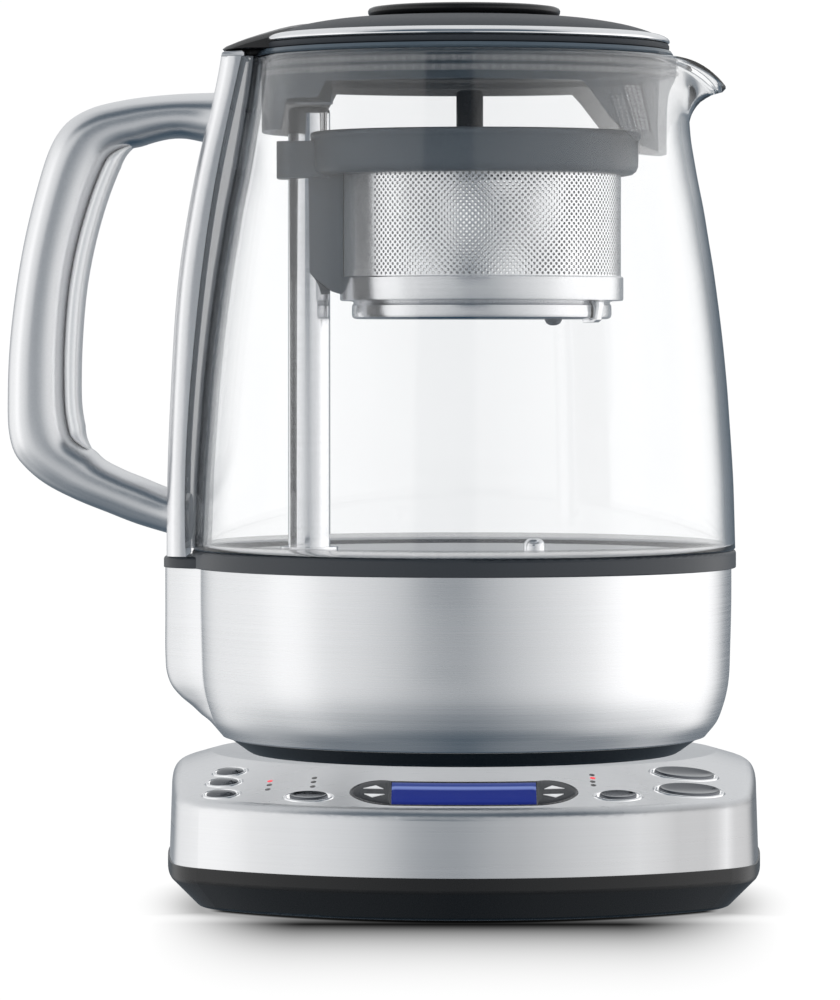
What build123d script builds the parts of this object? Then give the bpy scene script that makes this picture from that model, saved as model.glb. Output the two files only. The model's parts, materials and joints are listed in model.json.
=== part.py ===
from build123d import *
import math
import os

# ---------------------------------------------------------------------------
# Automatic tea maker: a power base with a control panel, a glass jug that
# lifts off it and turns on it, a tea basket that a hidden screw and magnet
# lower and raise on a pole, and a lift-off lid.
# All lengths in millimetres, +Z up, +X towards the spout, -Y is the front.
# The helper coordinates below have the jug's axis at x = y = 0; place()
# moves every piece so that the origin is the centre of the footprint.
# ---------------------------------------------------------------------------

# ---- whole object ----
JUG_AXIS_X = 22.89         # jug axis from the row origin
JUG_AXIS_Y = 3.75

# ---- power base ----
BASE_HALF_W = 83.8         # half width of the black housing
BASE_SIDE_R = 480.0        # sides taper towards the front on this radius
BASE_FRONT_R = 105.0       # radius of the bowed front, about the panel axis
PANEL_AXIS_Y = 10.0        # the sloping top is a shallow cone about x=0, y=10
REAR_CENTRE_Y = 3.7        # the rear is a half round about this point
CORNER_R = 26.0            # front corners in plan
HOUSING_BOTTOM_Z = 1.0
SEAM_Z = 13.2              # steel cover meets black housing
HOUSING_CHAMFER = 8.2
HOUSING_WALL = 2.2
COVER_INSET = 0.5
COVER_WALL = 1.0
COVER_DRAFT = 2.0          # degrees
LINER_WALL = 1.8
CONE_DEG = 16.0
CONE_R0, CONE_Z0 = 103.3, 31.3   # a point of the sloping top
PLATEAU_R = 72.3           # inside this radius the top is flat
FOOT_R, FOOT_H = 7.0, 2.0

# ---- panel controls: cone radius, azimuth, half length, half width, twist ----
SMALL_KEYS = {
    "auto_start_button": (81.5, -52.8, 5.55, 2.9, 0.0),
    "keep_warm_button": (88.9, -48.1, 5.5, 2.9, 0.0),
    "basket_button": (97.0, -43.2, 5.4, 2.85, 0.0),
}
LARGE_KEYS = {
    "tea_type_button": (95.3, -26.2, 6.3, 3.05, 0.0),
    "strength_button": (94.6, 26.2, 6.1, 3.05, 0.0),
    "hot_water_button": (82.0, 47.9, 10.1, 4.8, -14.0),
    "tea_button": (93.6, 41.2, 10.1, 4.8, -9.0),
}
KEYS = dict(SMALL_KEYS, **LARGE_KEYS)
KEY_GAP = 0.30             # key to ring
RING_W = 1.05              # width of the chrome ring
KEY_TRAVEL = 0.8
LEDS = [(85.8, -38.3), (88.5, -37.0), (91.7, -35.7), (81.8, -30.0), (84.7, -29.0),
        (88.0, -27.9), (78.8, 26.4), (81.1, 25.7), (83.7, 24.8), (86.3, 24.1)]
LIT = (0, 7)               # the two indicators that glow
LED_R = 0.75
WINDOW_HALF = 19.45
WINDOW_RHO = (83.6, 98.1)
BEZEL_RHO = (82.3, 100.0)
BEZEL_TIP_X, BEZEL_TIP_RHO = 30.8, 92.8

# ---- connector ----
POD_R, POD_TOP = 19.5, 50.2
SOCKET_IN_R, SOCKET_OUT_R = 20.3, 26.0
BOOT_BOTTOM_Z = 40.5

# ---- jug ----
BOWL_WALL = 0.8
BOWL = [(66.6, 44.8), (68.6, 45.2), (71.9, 49.4), (73.6, 53.7), (74.7, 57.9),
        (75.3, 62.2), (75.6, 70.0), (75.9, 83.5), (75.9, 92.9)]
LOBE_HALF = 17.0
LOBE_CORNER = 15.0
LOBE_SIDE = [(-84.9, 68.0), (-84.5, 63.0), (-83.2, 59.4), (-80.6, 56.2), (-77.2, 53.4), (-74.2, 50.6), (-68.4, 45.2)]
BAND_Z = (93.0, 98.2)
BAND_LOBE_TOP = 96.2       # the column stands on this lower part of the band
BAND_R = 77.2
BAND_LOBE_X = -85.2
GLASS_WALL = 2.5
GLASS = [(77.0, 98.5), (76.7, 109.0), (76.4, 117.6), (75.9, 126.0), (75.3, 134.6),
         (74.7, 143.0), (73.9, 151.7), (73.0, 160.0), (71.9, 168.7), (70.7, 177.3),
         (69.3, 185.8), (67.9, 194.3), (66.2, 202.8), (64.7, 211.3), (62.9, 222.0),
         (61.4, 232.0), (60.8, 237.1)]
FLOOR_Z = 97.2             # upper side of the heating plate
POLE_X, POLE_R, POLE_BORE = -44.0, 6.0, 5.0
POLE_TOP = 223.4
SCREW_R = 2.0

# ---- column and handle, drawn in the XZ plane ----
COLUMN_HALF = 16.5
COLUMN_OUT = [(-83.9, 96.4), (-83.7, 118.0), (-82.4, 148.6), (-80.4, 175.3),
              (-77.6, 194.0), (-74.5, 209.6), (-70.3, 227.0), (-68.4, 237.1)]
COLUMN_IN = [(-78.3, 96.4), (-78.5, 118.0), (-76.7, 148.6), (-74.6, 169.7),
             (-69.7, 203.4), (-65.8, 222.4), (-62.5, 237.1)]
HANDLE_HALF = 12.0
HANDLE_OUT = [(-70.8, 227.3), (-79.5, 227.1), (-97.0, 225.2), (-105.7, 223.0),
              (-111.8, 219.6), (-115.3, 215.6), (-117.9, 210.4), (-121.4, 199.1),
              (-124.9, 184.4), (-127.5, 168.7), (-129.0, 154.7), (-129.5, 142.6),
              (-129.2, 131.2), (-127.5, 125.1), (-124.0, 120.7), (-118.8, 116.5),
              (-110.1, 112.0), (-101.4, 108.5), (-92.6, 105.1), (-83.0, 102.3)]
HANDLE_IN = [(-74.2, 213.6), (-79.5, 214.5), (-83.9, 214.3), (-90.1, 212.7),
             (-94.0, 210.9), (-97.0, 207.4), (-99.2, 202.6), (-101.8, 195.4),
             (-104.8, 184.6), (-107.0, 173.2), (-108.2, 161.6), (-108.8, 148.6),
             (-108.5, 137.2), (-106.6, 129.5), (-103.1, 124.2), (-97.0, 120.7),
             (-90.9, 118.2), (-83.6, 115.2)]

# ---- basket ----
COLLAR_X, COLLAR_R, COLLAR_Z = 3.2, 46.9, (203.8, 216.0)
BASKET_X, BASKET_R = 5.0, 39.5
STEM_X = 1.6
MESH_Z = (174.7, 211.5)
BASKET_BAND_Z = (168.4, 174.7)
BASKET_BASE_Z = (163.3, 168.4)

# ---- lid ----
NECK_R = 57.4              # skirt, inside the glass mouth of radius 58.3
LID_TOP_Z = 251.9

S, C = math.sin(math.radians(CONE_DEG)), math.cos(math.radians(CONE_DEG))
T = S / C
PLATEAU_Z = CONE_Z0 + (CONE_R0 - PLATEAU_R) * T

PARTS = {}


def place(shape):
    return Pos(JUG_AXIS_X, JUG_AXIS_Y, 0) * shape


def solids_of(shape):
    return shape.solids() if hasattr(shape, "solids") else ShapeList(shape)


def put(name, shape):
    """Keeps a piece under its node name, as a compound of its solids."""
    parts = solids_of(place(shape))
    parts = [s for s in parts if s.volume > 0.02]
    PARTS[name] = parts[0] if len(parts) == 1 else Compound(children=list(parts))


def face_xz(points):
    """Face in the XZ plane through the points (x, z), with straight sides."""
    with BuildLine() as line:
        Polyline(*points, close=True)
    return Plane.XZ * make_face(line.line)


def rev(points, arc=360):
    return revolve(face_xz(points), Axis.Z, arc)


def rev_curved(outer):
    """Solid of revolution whose side is a smooth curve."""
    with BuildLine() as line:
        Spline(*outer)
        Line(outer[-1], (0, outer[-1][1]))
        Line((0, outer[-1][1]), (0, outer[0][1]))
        Line((0, outer[0][1]), outer[0])
    return revolve(Plane.XZ * make_face(line.line), Axis.Z)


def tube(r_out, r_in, z0, z1, x=0.0, y=0.0):
    ring = Pos(x, y, z0) * extrude(Circle(r_out), z1 - z0)
    if r_in:
        ring = ring - Pos(x, y, z0 - 1) * extrude(Circle(r_in), z1 - z0 + 2)
    return ring


def box(x0, x1, y0, y1, z0, z1):
    return Pos((x0 + x1) / 2, (y0 + y1) / 2, (z0 + z1) / 2) * Box(x1 - x0, y1 - y0, z1 - z0)


def try_fillet(shape, edges, radii):
    for r in radii:
        try:
            out = fillet(edges, r)
            if out.is_valid and out.volume > 0:
                return out
        except Exception:
            pass
    print("fillet skipped")
    return shape


def circles_meet(c0, r0, c1, r1):
    """Lower right crossing of two circles."""
    d = (c1 - c0).length
    along = (r0 * r0 - r1 * r1 + d * d) / (2 * d)
    side = math.sqrt(r0 * r0 - along * along)
    u = (c1 - c0) / d
    p = c0 + u * along
    q = [p + Vector(u.Y, -u.X, 0) * side, p - Vector(u.Y, -u.X, 0) * side]
    return min(q, key=lambda v: v.Y)


SIDE_C = Vector(BASE_HALF_W - BASE_SIDE_R, REAR_CENTRE_Y, 0)
FRONT_C = Vector(0, PANEL_AXIS_Y, 0)
CORNER_C = circles_meet(SIDE_C, BASE_SIDE_R - CORNER_R, FRONT_C, BASE_FRONT_R - CORNER_R)


def base_face(inset):
    """Plan of the power base, moved in by inset: bowed front, round corners,
    slightly bowed sides that run into a half round rear."""
    w, r, rc, rs = (v - inset for v in (BASE_HALF_W, BASE_FRONT_R, CORNER_R, BASE_SIDE_R))
    u1, u2 = (CORNER_C - FRONT_C).normalized(), (CORNER_C - SIDE_C).normalized()
    p1, p2, p3 = FRONT_C + u1 * r, SIDE_C + u2 * rs, Vector(w, REAR_CENTRE_Y, 0)
    m1 = CORNER_C + (u1 + u2).normalized() * rc
    m2 = SIDE_C + (u2 + Vector(1, 0, 0)).normalized() * rs

    def flip(v):
        return (-v.X, v.Y)

    def at(v):
        return (v.X, v.Y)

    with BuildSketch() as sk:
        with BuildLine():
            ThreePointArc(flip(p1), (0, PANEL_AXIS_Y - r), at(p1))
            ThreePointArc(at(p1), at(m1), at(p2))
            ThreePointArc(at(p2), at(m2), at(p3))
            ThreePointArc(at(p3), (0, REAR_CENTRE_Y + w), flip(p3))
            ThreePointArc(flip(p3), flip(m2), flip(p2))
            ThreePointArc(flip(p2), flip(m1), flip(p1))
        make_face()
    return sk.sketch


def under_cone(off):
    """Everything under the sloping top moved by off along its normal."""
    far = 150.0
    z_far = CONE_Z0 + (CONE_R0 - far) * T + off / C
    edge = CONE_R0 - (PLATEAU_Z + off - CONE_Z0 - off / C) / T
    return Pos(0, PANEL_AXIS_Y, 0) * rev(
        [(0, -30), (far, -30), (far, z_far), (edge, PLATEAU_Z + off), (0, PLATEAU_Z + off)])


def panel_plane(rho, phi, lift=0.0):
    """Plane on the sloping top: x along it to the right, z out of it."""
    a = math.radians(phi)
    er = Vector(math.sin(a), -math.cos(a), 0)
    n = Vector(er.X * S, er.Y * S, C)
    et = Vector(math.cos(a), math.sin(a), 0)
    o = Vector(rho * er.X, PANEL_AXIS_Y + rho * er.Y, CONE_Z0 + (CONE_R0 - rho) * T)
    return Plane(origin=o + n * lift, x_dir=et, z_dir=n)


def oval(rho, phi, a, b, z0, z1, twist=0.0):
    return panel_plane(rho, phi, z0) * (Rot(0, 0, twist) * extrude(Ellipse(a, b), z1 - z0))


# ---------------------------------------------------------------------------
# Power base
# ---------------------------------------------------------------------------
cone = {o: under_cone(o) for o in (0.0, 0.5, 0.7, 0.35, -COVER_WALL, -COVER_WALL - LINER_WALL,
                                   -2.4, -2.0, -9.9, -8.9)}


def cover_body(inset, off, radius):
    side = Pos(0, 0, SEAM_Z) * extrude(base_face(inset), 34, taper=COVER_DRAFT)
    body = side & cone[off]
    body = body.solids()[0]
    rim = [e for e in body.edges()
           if e.center().Z > SEAM_Z + 10 and e.geom_type != GeomType.CIRCLE
           and not (abs(e.center().Z - PLATEAU_Z - off) < 0.05)]
    rim = [e for e in rim if (e.bounding_box().size.X + e.bounding_box().size.Y) > 5
           and math.hypot((e @ 0.5).X, (e @ 0.5).Y) > 60
           and e.bounding_box().size.Z < 12]
    tops = []
    for e in rim:
        m = e @ 0.5
        want = CONE_Z0 + (CONE_R0 - math.hypot(m.X, m.Y - PANEL_AXIS_Y)) * T + off / C
        if abs(m.Z - want) < 0.15:
            tops.append(e)
    return try_fillet(body, tops, [radius, radius * 0.8, radius * 0.6, radius * 0.4])


outer_cover = cover_body(COVER_INSET, 0.0, 3.6)
inner_cover = cover_body(COVER_INSET + COVER_WALL, -COVER_WALL, 2.7)
inner_liner = cover_body(COVER_INSET + COVER_WALL + LINER_WALL, -COVER_WALL - LINER_WALL, 1.2)

key_holes = Part() + [oval(r, p, a + KEY_GAP + RING_W, b + KEY_GAP + RING_W, -14, 4, t)
                      for r, p, a, b, t in KEYS.values()]
led_holes = Part() + [panel_plane(r, p, -14) * extrude(Circle(LED_R), 16) for r, p in LEDS]


def rho_y(rho, x):
    return PANEL_AXIS_Y - math.sqrt(rho * rho - x * x)


def bezel_prism(grow):
    """Upright prism of the pointed oval that holds the display and two rockers."""
    r0, r1 = BEZEL_RHO[0] - grow, BEZEL_RHO[1] + grow
    xt = BEZEL_TIP_X + 1.3 * grow
    xs = WINDOW_HALF + 0.3
    yt = rho_y(BEZEL_TIP_RHO, xt)
    ta, tb = (xs, rho_y(r0, xs)), (xs, rho_y(r1, xs))
    ma = (27.3 + 0.9 * grow, rho_y(r0, 27.3) - 1.7 + 0.5 * grow)
    mb = (26.6 + 0.9 * grow, rho_y(r1, 26.6) + 2.2 - 0.6 * grow)
    with BuildSketch() as sk:
        with BuildLine():
            ThreePointArc((-ta[0], ta[1]), (0, PANEL_AXIS_Y - r0), ta)
            ThreePointArc(ta, ma, (xt, yt))
            ThreePointArc((xt, yt), mb, tb)
            ThreePointArc(tb, (0, PANEL_AXIS_Y - r1), (-tb[0], tb[1]))
            ThreePointArc((-tb[0], tb[1]), (-mb[0], mb[1]), (-xt, yt))
            ThreePointArc((-xt, yt), (-ma[0], ma[1]), (-ta[0], ta[1]))
        make_face()
    return Pos(0, 0, 5) * extrude(sk.sketch, 50)


def window_prism(grow):
    r0, r1, xs = WINDOW_RHO[0] - grow, WINDOW_RHO[1] + grow, WINDOW_HALF + grow
    with BuildSketch() as sk:
        with BuildLine():
            ThreePointArc((-xs, rho_y(r0, xs)), (0, PANEL_AXIS_Y - r0), (xs, rho_y(r0, xs)))
            Line((xs, rho_y(r0, xs)), (xs, rho_y(r1, xs)))
            ThreePointArc((xs, rho_y(r1, xs)), (0, PANEL_AXIS_Y - r1), (-xs, rho_y(r1, xs)))
            Line((-xs, rho_y(r1, xs)), (-xs, rho_y(r0, xs)))
        make_face()
    return Pos(0, 0, 5) * extrude(sk.sketch, 50)


bezel_cut = bezel_prism(0.0)
pod_hole = tube(24.0, 0, 20, 60)

cover = outer_cover - inner_cover - key_holes - led_holes - bezel_cut - pod_hole
put("base_cover", cover)

liner = inner_cover - inner_liner - key_holes - bezel_cut - tube(24.0, 0, 20, 60)
liner = liner - (Part() + [panel_plane(r, p, -14) * extrude(Circle(LED_R + 1.2), 16) for r, p in LEDS])
BOSSES = [(-66, -20), (66, -20), (-61, 36), (61, 36)]
for bx, by in BOSSES:
    boss = tube(4.0, 1.3, 6.5, 45, bx, by) & inner_cover
    liner = liner + boss
put("cover_liner", liner)

# black housing: a tray with a bevelled foot
tray = Pos(0, 0, HOUSING_BOTTOM_Z) * extrude(base_face(0.0), SEAM_Z - HOUSING_BOTTOM_Z)
low = tray.edges().filter_by_position(Axis.Z, HOUSING_BOTTOM_Z - 0.01, HOUSING_BOTTOM_Z + 0.01)
tray = chamfer(low, HOUSING_CHAMFER)
mid = [e for e in tray.edges() if abs(e.center().Z - HOUSING_BOTTOM_Z - HOUSING_CHAMFER) < 0.02
       and e.bounding_box().size.Z < 0.02]
tray = try_fillet(tray, mid, [1.6, 1.2, 0.8])
bot = [e for e in tray.edges() if e.bounding_box().max.Z < HOUSING_BOTTOM_Z + 0.02]
tray = try_fillet(tray, bot, [3.0, 2.0, 1.0])
hollow = Pos(0, 0, HOUSING_BOTTOM_Z + HOUSING_WALL) * extrude(base_face(HOUSING_WALL), 20)
low = hollow.edges().filter_by_position(Axis.Z, HOUSING_BOTTOM_Z + HOUSING_WALL - 0.01,
                                        HOUSING_BOTTOM_Z + HOUSING_WALL + 0.01)
hollow = chamfer(low, HOUSING_CHAMFER - 0.9)
FEET = [(-56, -44), (56, -44), (-44, 48), (44, 48)]
housing = tray - hollow
for fx, fy in FEET:
    housing = housing - tube(FOOT_R, 0, 0, FOOT_H, fx, fy)
for bx, by in BOSSES:
    housing = housing + tube(3.9, 0, 3.0, 6.4, bx, by)
    housing = housing - tube(3.1, 0, 0.5, 3.4, bx, by) - tube(1.65, 0, 0, 8, bx, by)
GLAND_X, GLAND_Z, GLAND_R = 34.0, 8.6, 4.4
gland_y = REAR_CENTRE_Y + math.sqrt(BASE_HALF_W ** 2 - GLAND_X ** 2)
gland_cut = Pos(GLAND_X, gland_y - 14, GLAND_Z) * (Rot(-90, 0, 0) * extrude(Circle(GLAND_R), 30))
gland_cut = gland_cut & box(0, 80, 0, 120, 3.4, 13.1)
put("base_housing", housing - gland_cut)

# bush in the rear wall for the supply lead
bore = Pos(GLAND_X, gland_y - 12, GLAND_Z) * (Rot(-90, 0, 0) * extrude(Circle(3.2), 30))
bush = (Pos(GLAND_X, gland_y - 8, GLAND_Z) * (Rot(-90, 0, 0) * extrude(Circle(GLAND_R), 12))) & box(
    0, 80, 0, gland_y - 2.2, 3.4, 13.1)
put("cord_bush", bush - bore)

feet = Part() + [tube(FOOT_R, 0, 0, FOOT_H, fx, fy) for fx, fy in FEET]
put("rubber_feet", feet)

screws = Part()
for bx, by in BOSSES:
    screws = screws + tube(2.9, 0, 1.3, 3.3, bx, by) + tube(1.3, 0, 3.3, 15, bx, by)
put("base_screws", screws)

# display and rockers
ring_band_shell = cone[0.7] - cone[-2.4]
window_cut = window_prism(0.0)
bezel = bezel_cut & ring_band_shell
rocker_zone = bezel_prism(-1.3) - window_prism(1.4)
rocker_hole = rocker_zone
bezel = bezel - window_cut - rocker_hole
put("display_window", window_cut & (cone[0.35] - cone[-2.0]))
lcd = panel_plane(90.4, 0.0, -6.8) * (Pos(0, 0, 1.6) * Box(42.0, 15.4, 3.2))
put("lcd_module", lcd)
rocker_body = (bezel_prism(-1.6) - window_prism(1.7)) & (cone[0.5] - cone[-2.4])
halves = sorted(rocker_body.solids(), key=lambda s: s.center().X)
ROCKER_C = (halves[0].center(), halves[-1].center())
ROCKER_PHI = 15.6


def rocker_pin(c, phi, radius, reach):
    """Round pivot pin along a rocker's tilt axis, ending inside the bezel's rims."""
    a = math.radians(phi)
    plane = Plane(origin=(c.X, c.Y, c.Z), x_dir=(0, 0, 1), z_dir=(math.cos(a), math.sin(a), 0))
    rod = plane * (Pos(0, 0, -9) * extrude(Circle(radius), 18))
    return rod & (bezel_prism(-1.6 + reach) - window_prism(1.7 - reach))


for i, name in enumerate(("temperature_rocker", "time_rocker")):
    c, phi = ROCKER_C[i], (-ROCKER_PHI, ROCKER_PHI)[i]
    rocker = halves[0 if i == 0 else -1] + rocker_pin(c, phi, 0.80, 0.85)
    put(name, max(rocker.solids(), key=lambda s: s.volume))
    bezel = bezel - rocker_pin(c, phi, 0.86, 0.95)
put("display_bezel", bezel)

# keys, rings, indicators
rings = Part()
for name, (r, p, a, b, t) in KEYS.items():
    ring = oval(r, p, a + KEY_GAP + RING_W, b + KEY_GAP + RING_W, -6, 4, t) - oval(
        r, p, a + KEY_GAP, b + KEY_GAP, -8, 6, t)
    rings = rings + (ring & (cone[0.7] - cone[-2.4]))
    cap = oval(r, p, a, b, -6.0, 0.95, t)
    top = [e for e in cap.edges() if panel_plane(r, p).to_local_coords(e.center()).Z > 0.9]
    cap = try_fillet(cap, top, [0.7, 0.5, 0.3])
    put(name, cap)
put("key_rings", rings)
lit, dark = Part(), Part()
for i, (r, p) in enumerate(LEDS):
    led = panel_plane(r, p, -8.6) * extrude(Circle(LED_R), 8.75)
    if i in LIT:
        lit = lit + led
    else:
        dark = dark + led
put("lit_indicators", lit)
put("dark_indicators", dark)

# control board under the panel, with a switch under each key
sector = Part() + [Pos(0, PANEL_AXIS_Y, 0) * extrude(
    make_face(Polyline((0, 0), *[(118 * math.sin(math.radians(t)), -118 * math.cos(math.radians(t)))
                                 for t in range(-62, 63, 4)], close=True)), 60)]
board = (cone[-8.9] - cone[-9.9]) & sector
board = board - Pos(0, PANEL_AXIS_Y, 0) * extrude(Circle(74.5), 60)
board = board & Pos(0, PANEL_AXIS_Y, 0) * extrude(Circle(101.5), 60)
board = board & (Pos(0, 0, 5) * extrude(base_face(7.5), 60))
board = board - (Part() + [tube(4.6, 0, 0, 60, bx, by) for bx, by in BOSSES])
put("control_board", board)
switches = Part()
for name, (r, p, a, b, t) in KEYS.items():
    sw = panel_plane(r, p, -8.75) * (Pos(0, 0, 0.7) * Box(5.0, 5.0, 1.4))
    sw = sw + panel_plane(r, p, -7.4) * extrude(Circle(1.3), 0.5)
    switches = switches + (sw - cone[-8.9])
put("key_switches", switches)

# mains board and relay in the rear of the base
put("power_board", box(-40, 40, 28, 66, 9.0, 10.6))
relay = box(-30, -10, 34, 52, 10.6, 24.0)
relay = try_fillet(relay, relay.edges().filter_by(Axis.Z), [1.0])
put("power_relay", relay)

# connector pod in the middle of the base
pod = rev([(0, 34.8), (30, 34.8), (30, 37.3), (23.6, 37.3), (23.6, 40.3), (POD_R, 40.3), (POD_R, POD_TOP - 1.5),
           (POD_R - 1.5, POD_TOP), (0, POD_TOP)])
grooves = tube(13.6, 12.4, POD_TOP - 3.6, POD_TOP + 1) + tube(8.6, 7.4, POD_TOP - 3.6, POD_TOP + 1) + tube(
    2.4, 0, POD_TOP - 6.0, POD_TOP + 1)
pod = pod - rev([(0, 30), (16.8, 30), (16.8, 44.0), (0, 44.0)]) - grooves
put("connector_pod", pod)
contacts = tube(13.4, 12.6, POD_TOP - 3.6, POD_TOP - 0.4) + tube(8.4, 7.6, POD_TOP - 3.6, POD_TOP - 0.4)
contacts = contacts + tube(0.9, 0, POD_TOP - 6.0, POD_TOP - 0.6)
put("pod_contacts", contacts)

# ---------------------------------------------------------------------------
# Jug: bottom
# ---------------------------------------------------------------------------
socket = rev([(SOCKET_IN_R, 40.9), (SOCKET_OUT_R, 40.9), (SOCKET_OUT_R, 54.0), (0, 54.0), (0, 51.6),
              (SOCKET_IN_R - 1.8, 51.6), (SOCKET_IN_R, 49.8)])
put("jug_socket", socket)

boot = rev([(27.0, BOOT_BOTTOM_Z), (60.6, BOOT_BOTTOM_Z), (61.8, BOOT_BOTTOM_Z + 0.7), (66.5, 44.6), (65.8, 44.8),
            (65.8, 48.0), (63.6, 48.0), (63.6, 43.6), (29.0, 43.6), (29.0, 56.5), (27.0, 56.5)])
BOOT_SCREWS = [(52 * math.cos(math.radians(a)), 52 * math.sin(math.radians(a))) for a in (90, 210, 330)]
for sx, sy in BOOT_SCREWS:
    boot = boot + tube(4.5, 0, 42.0, 47.6, sx, sy)
for sx, sy in BOOT_SCREWS:
    boot = boot - tube(3.1, 0, 38, 43.4, sx, sy) - tube(1.7, 0, 38, 60, sx, sy)
put("jug_boot", boot)
bs = Part()
for sx, sy in BOOT_SCREWS:
    bs = bs + tube(2.9, 0, 41.2, 43.4, sx, sy) + tube(1.35, 0, 43.4, 56, sx, sy)
put("boot_screws", bs)


def bowl_solid(inset, z_top):
    """Steel bowl's outside moved in by inset, with the lobe under the column."""
    pts = [(r - inset, z) for r, z in BOWL[1:]]
    first = (BOWL[0][0] - inset, BOWL[0][1])
    with BuildLine() as line:
        Spline(*pts[:-2])
        Line(pts[-3], pts[-2])
        Line(pts[-2], (pts[-1][0], z_top))
        Line((pts[-1][0], z_top), (0, z_top))
        Line((0, z_top), (0, first[1]))
        Line((0, first[1]), first)
        Line(first, pts[0])
    round_part = revolve(Plane.XZ * make_face(line.line), Axis.Z)
    side = [(x + inset, z) for x, z in LOBE_SIDE]
    with BuildLine() as line:
        Line((-50.0, z_top), (side[0][0], z_top))
        Line((side[0][0], z_top), side[0])
        Spline(*side, tangents=[(0, -1), (0.74, -0.67)])
        Line(side[-1], (-50.0, side[-1][1]))
        Line((-50.0, side[-1][1]), (-50.0, z_top))
    lobe = extrude(Plane.XZ * make_face(line.line), LOBE_HALF - inset, both=True)
    upright = [e for e in lobe.edges() if abs(abs(e.center().Y) - (LOBE_HALF - inset)) < 0.01
               and e.center().X < -66 and e.bounding_box().size.Z > 0.5]
    lobe = try_fillet(lobe, upright, [LOBE_CORNER - inset, 5.5 - inset, 3.0])
    return round_part + lobe


bowl_out = bowl_solid(0.0, 92.9)
bowl_in = bowl_solid(BOWL_WALL, 93.9)
steel_bowl = bowl_out - bowl_in - tube(66.0, 0, 40, 60)
put("steel_bowl", steel_bowl)


def rounded_rims(shape, z_low, z_top, low_r, top_r):
    for z, radii in ((z_top, [top_r, top_r * 0.6]), (z_low, [low_r, low_r * 0.5])):
        rim = [e for e in shape.edges() if e.bounding_box().size.Z < 0.01 and abs(e.center().Z - z) < 0.01]
        shape = try_fillet(shape, rim, radii)
    return shape


ring = rounded_rims(Pos(0, 0, BAND_Z[0]) * extrude(Circle(BAND_R), BAND_Z[1] - BAND_Z[0]), *BAND_Z, 0.25, 1.2)
foot_plan = Pos((BAND_LOBE_X - 40) / 2, 0) * Rectangle(abs(BAND_LOBE_X + 40), 35.2)
foot_plan = fillet([v for v in foot_plan.vertices() if v.X < BAND_LOBE_X + 1], LOBE_CORNER + 0.5)
lobe = Pos(0, 0, BAND_Z[0]) * extrude(foot_plan, BAND_LOBE_TOP - BAND_Z[0])
lobe = rounded_rims(lobe, BAND_Z[0], BAND_LOBE_TOP, 0.25, 0.9)
band = ring + lobe
band = band - tube(74.0, 0, 90, 110)
put("ring_band", band)

# floor of the jug
plate = rev([(0, FLOOR_Z), (70.6, FLOOR_Z), (73.0, FLOOR_Z - 0.9), (73.0, 90.0), (72.0, 90.0), (72.0, FLOOR_Z - 2.6),
             (0, FLOOR_Z - 2.6)])
plate = plate - tube(POLE_R, 0, 80, 110, POLE_X)
plate = plate - tube(3.0, 0, 80, 110, 20, 0)
put("heating_plate", plate)
seal = rev([(73.1, 95.0), (73.9, 95.0), (73.9, 99.0), (74.4, 99.2), (74.4, 100.2), (72.6, 100.2), (70.9, 97.3),
            (73.1, 97.3)])
put("glass_seal", seal)
element = rev([(45.0, 88.2), (53.0, 88.2), (53.0, FLOOR_Z - 2.65), (45.0, FLOOR_Z - 2.65)], 360)
element = try_fillet(element, [e for e in element.edges() if e.center().Z < 89 and e.length > 100], [2.5])
element = element - box(-70, -30, -12, 12, 80, 100)
put("heating_element", element)
probe = tube(3.0, 0, 86, 101.0, 20, 0) + tube(5.0, 0, 84, 92.0, 20, 0)
probe = try_fillet(probe, [e for e in probe.edges() if e.center().Z > 100.9 and e.length > 15], [2.0])
put("temperature_probe", probe)

# lift drive: motor below the floor, screw and magnet sealed in the pole
motor = tube(13.0, 0, 57.5, 82.0, POLE_X) + tube(4.5, 0, 82.0, 83.6, POLE_X) + tube(5.0, 0, 55.5, 57.5, POLE_X)
motor = motor - tube(1.2, 0, 80.0, 90.0, POLE_X)
put("lift_motor", motor)
bracket = box(POLE_X - 19, POLE_X + 19, -16, 16, 82.0, 83.6) - tube(4.6, 0, 80, 90, POLE_X)
for bx in (POLE_X - 15.5, POLE_X + 15.5):
    for by in (-12, 12):
        bracket = bracket + tube(2.6, 1.2, 83.6, 94.55, bx, by)
bracket = bracket - element
put("motor_bracket", bracket)
pole = tube(POLE_R, 0, FLOOR_Z - 2.6, POLE_TOP, POLE_X)
pole = try_fillet(pole, [e for e in pole.edges() if e.center().Z > POLE_TOP - 0.1], [2.0])
pole = pole + tube(8.2, POLE_R - 0.5, FLOOR_Z, FLOOR_Z + 1.5, POLE_X)
pole = pole - tube(POLE_BORE, 0, 80, POLE_TOP - 1.6, POLE_X)
put("guide_pole", pole)
screw = tube(SCREW_R, 0, 88.0, POLE_TOP - 2.4, POLE_X)
put("lead_screw", screw)
coupler = tube(3.6, 0, 84.4, 92.0, POLE_X) - tube(SCREW_R, 0, 88.0, 95, POLE_X)
put("screw_coupler", coupler + tube(1.0, 0, 81.0, 88.0, POLE_X))
slider = tube(4.6, 2.4, 198.0, 216.0, POLE_X)
put("magnet_slider", slider)

# ---------------------------------------------------------------------------
# Jug: glass
# ---------------------------------------------------------------------------
glass_in = [(r - GLASS_WALL, z) for r, z in GLASS]
body_out = rev_curved(GLASS)
body_in = rev_curved([(glass_in[0][0], 97.5)] + [(r, z) for r, z in glass_in] + [(glass_in[-1][0], 242.0)])


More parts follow.
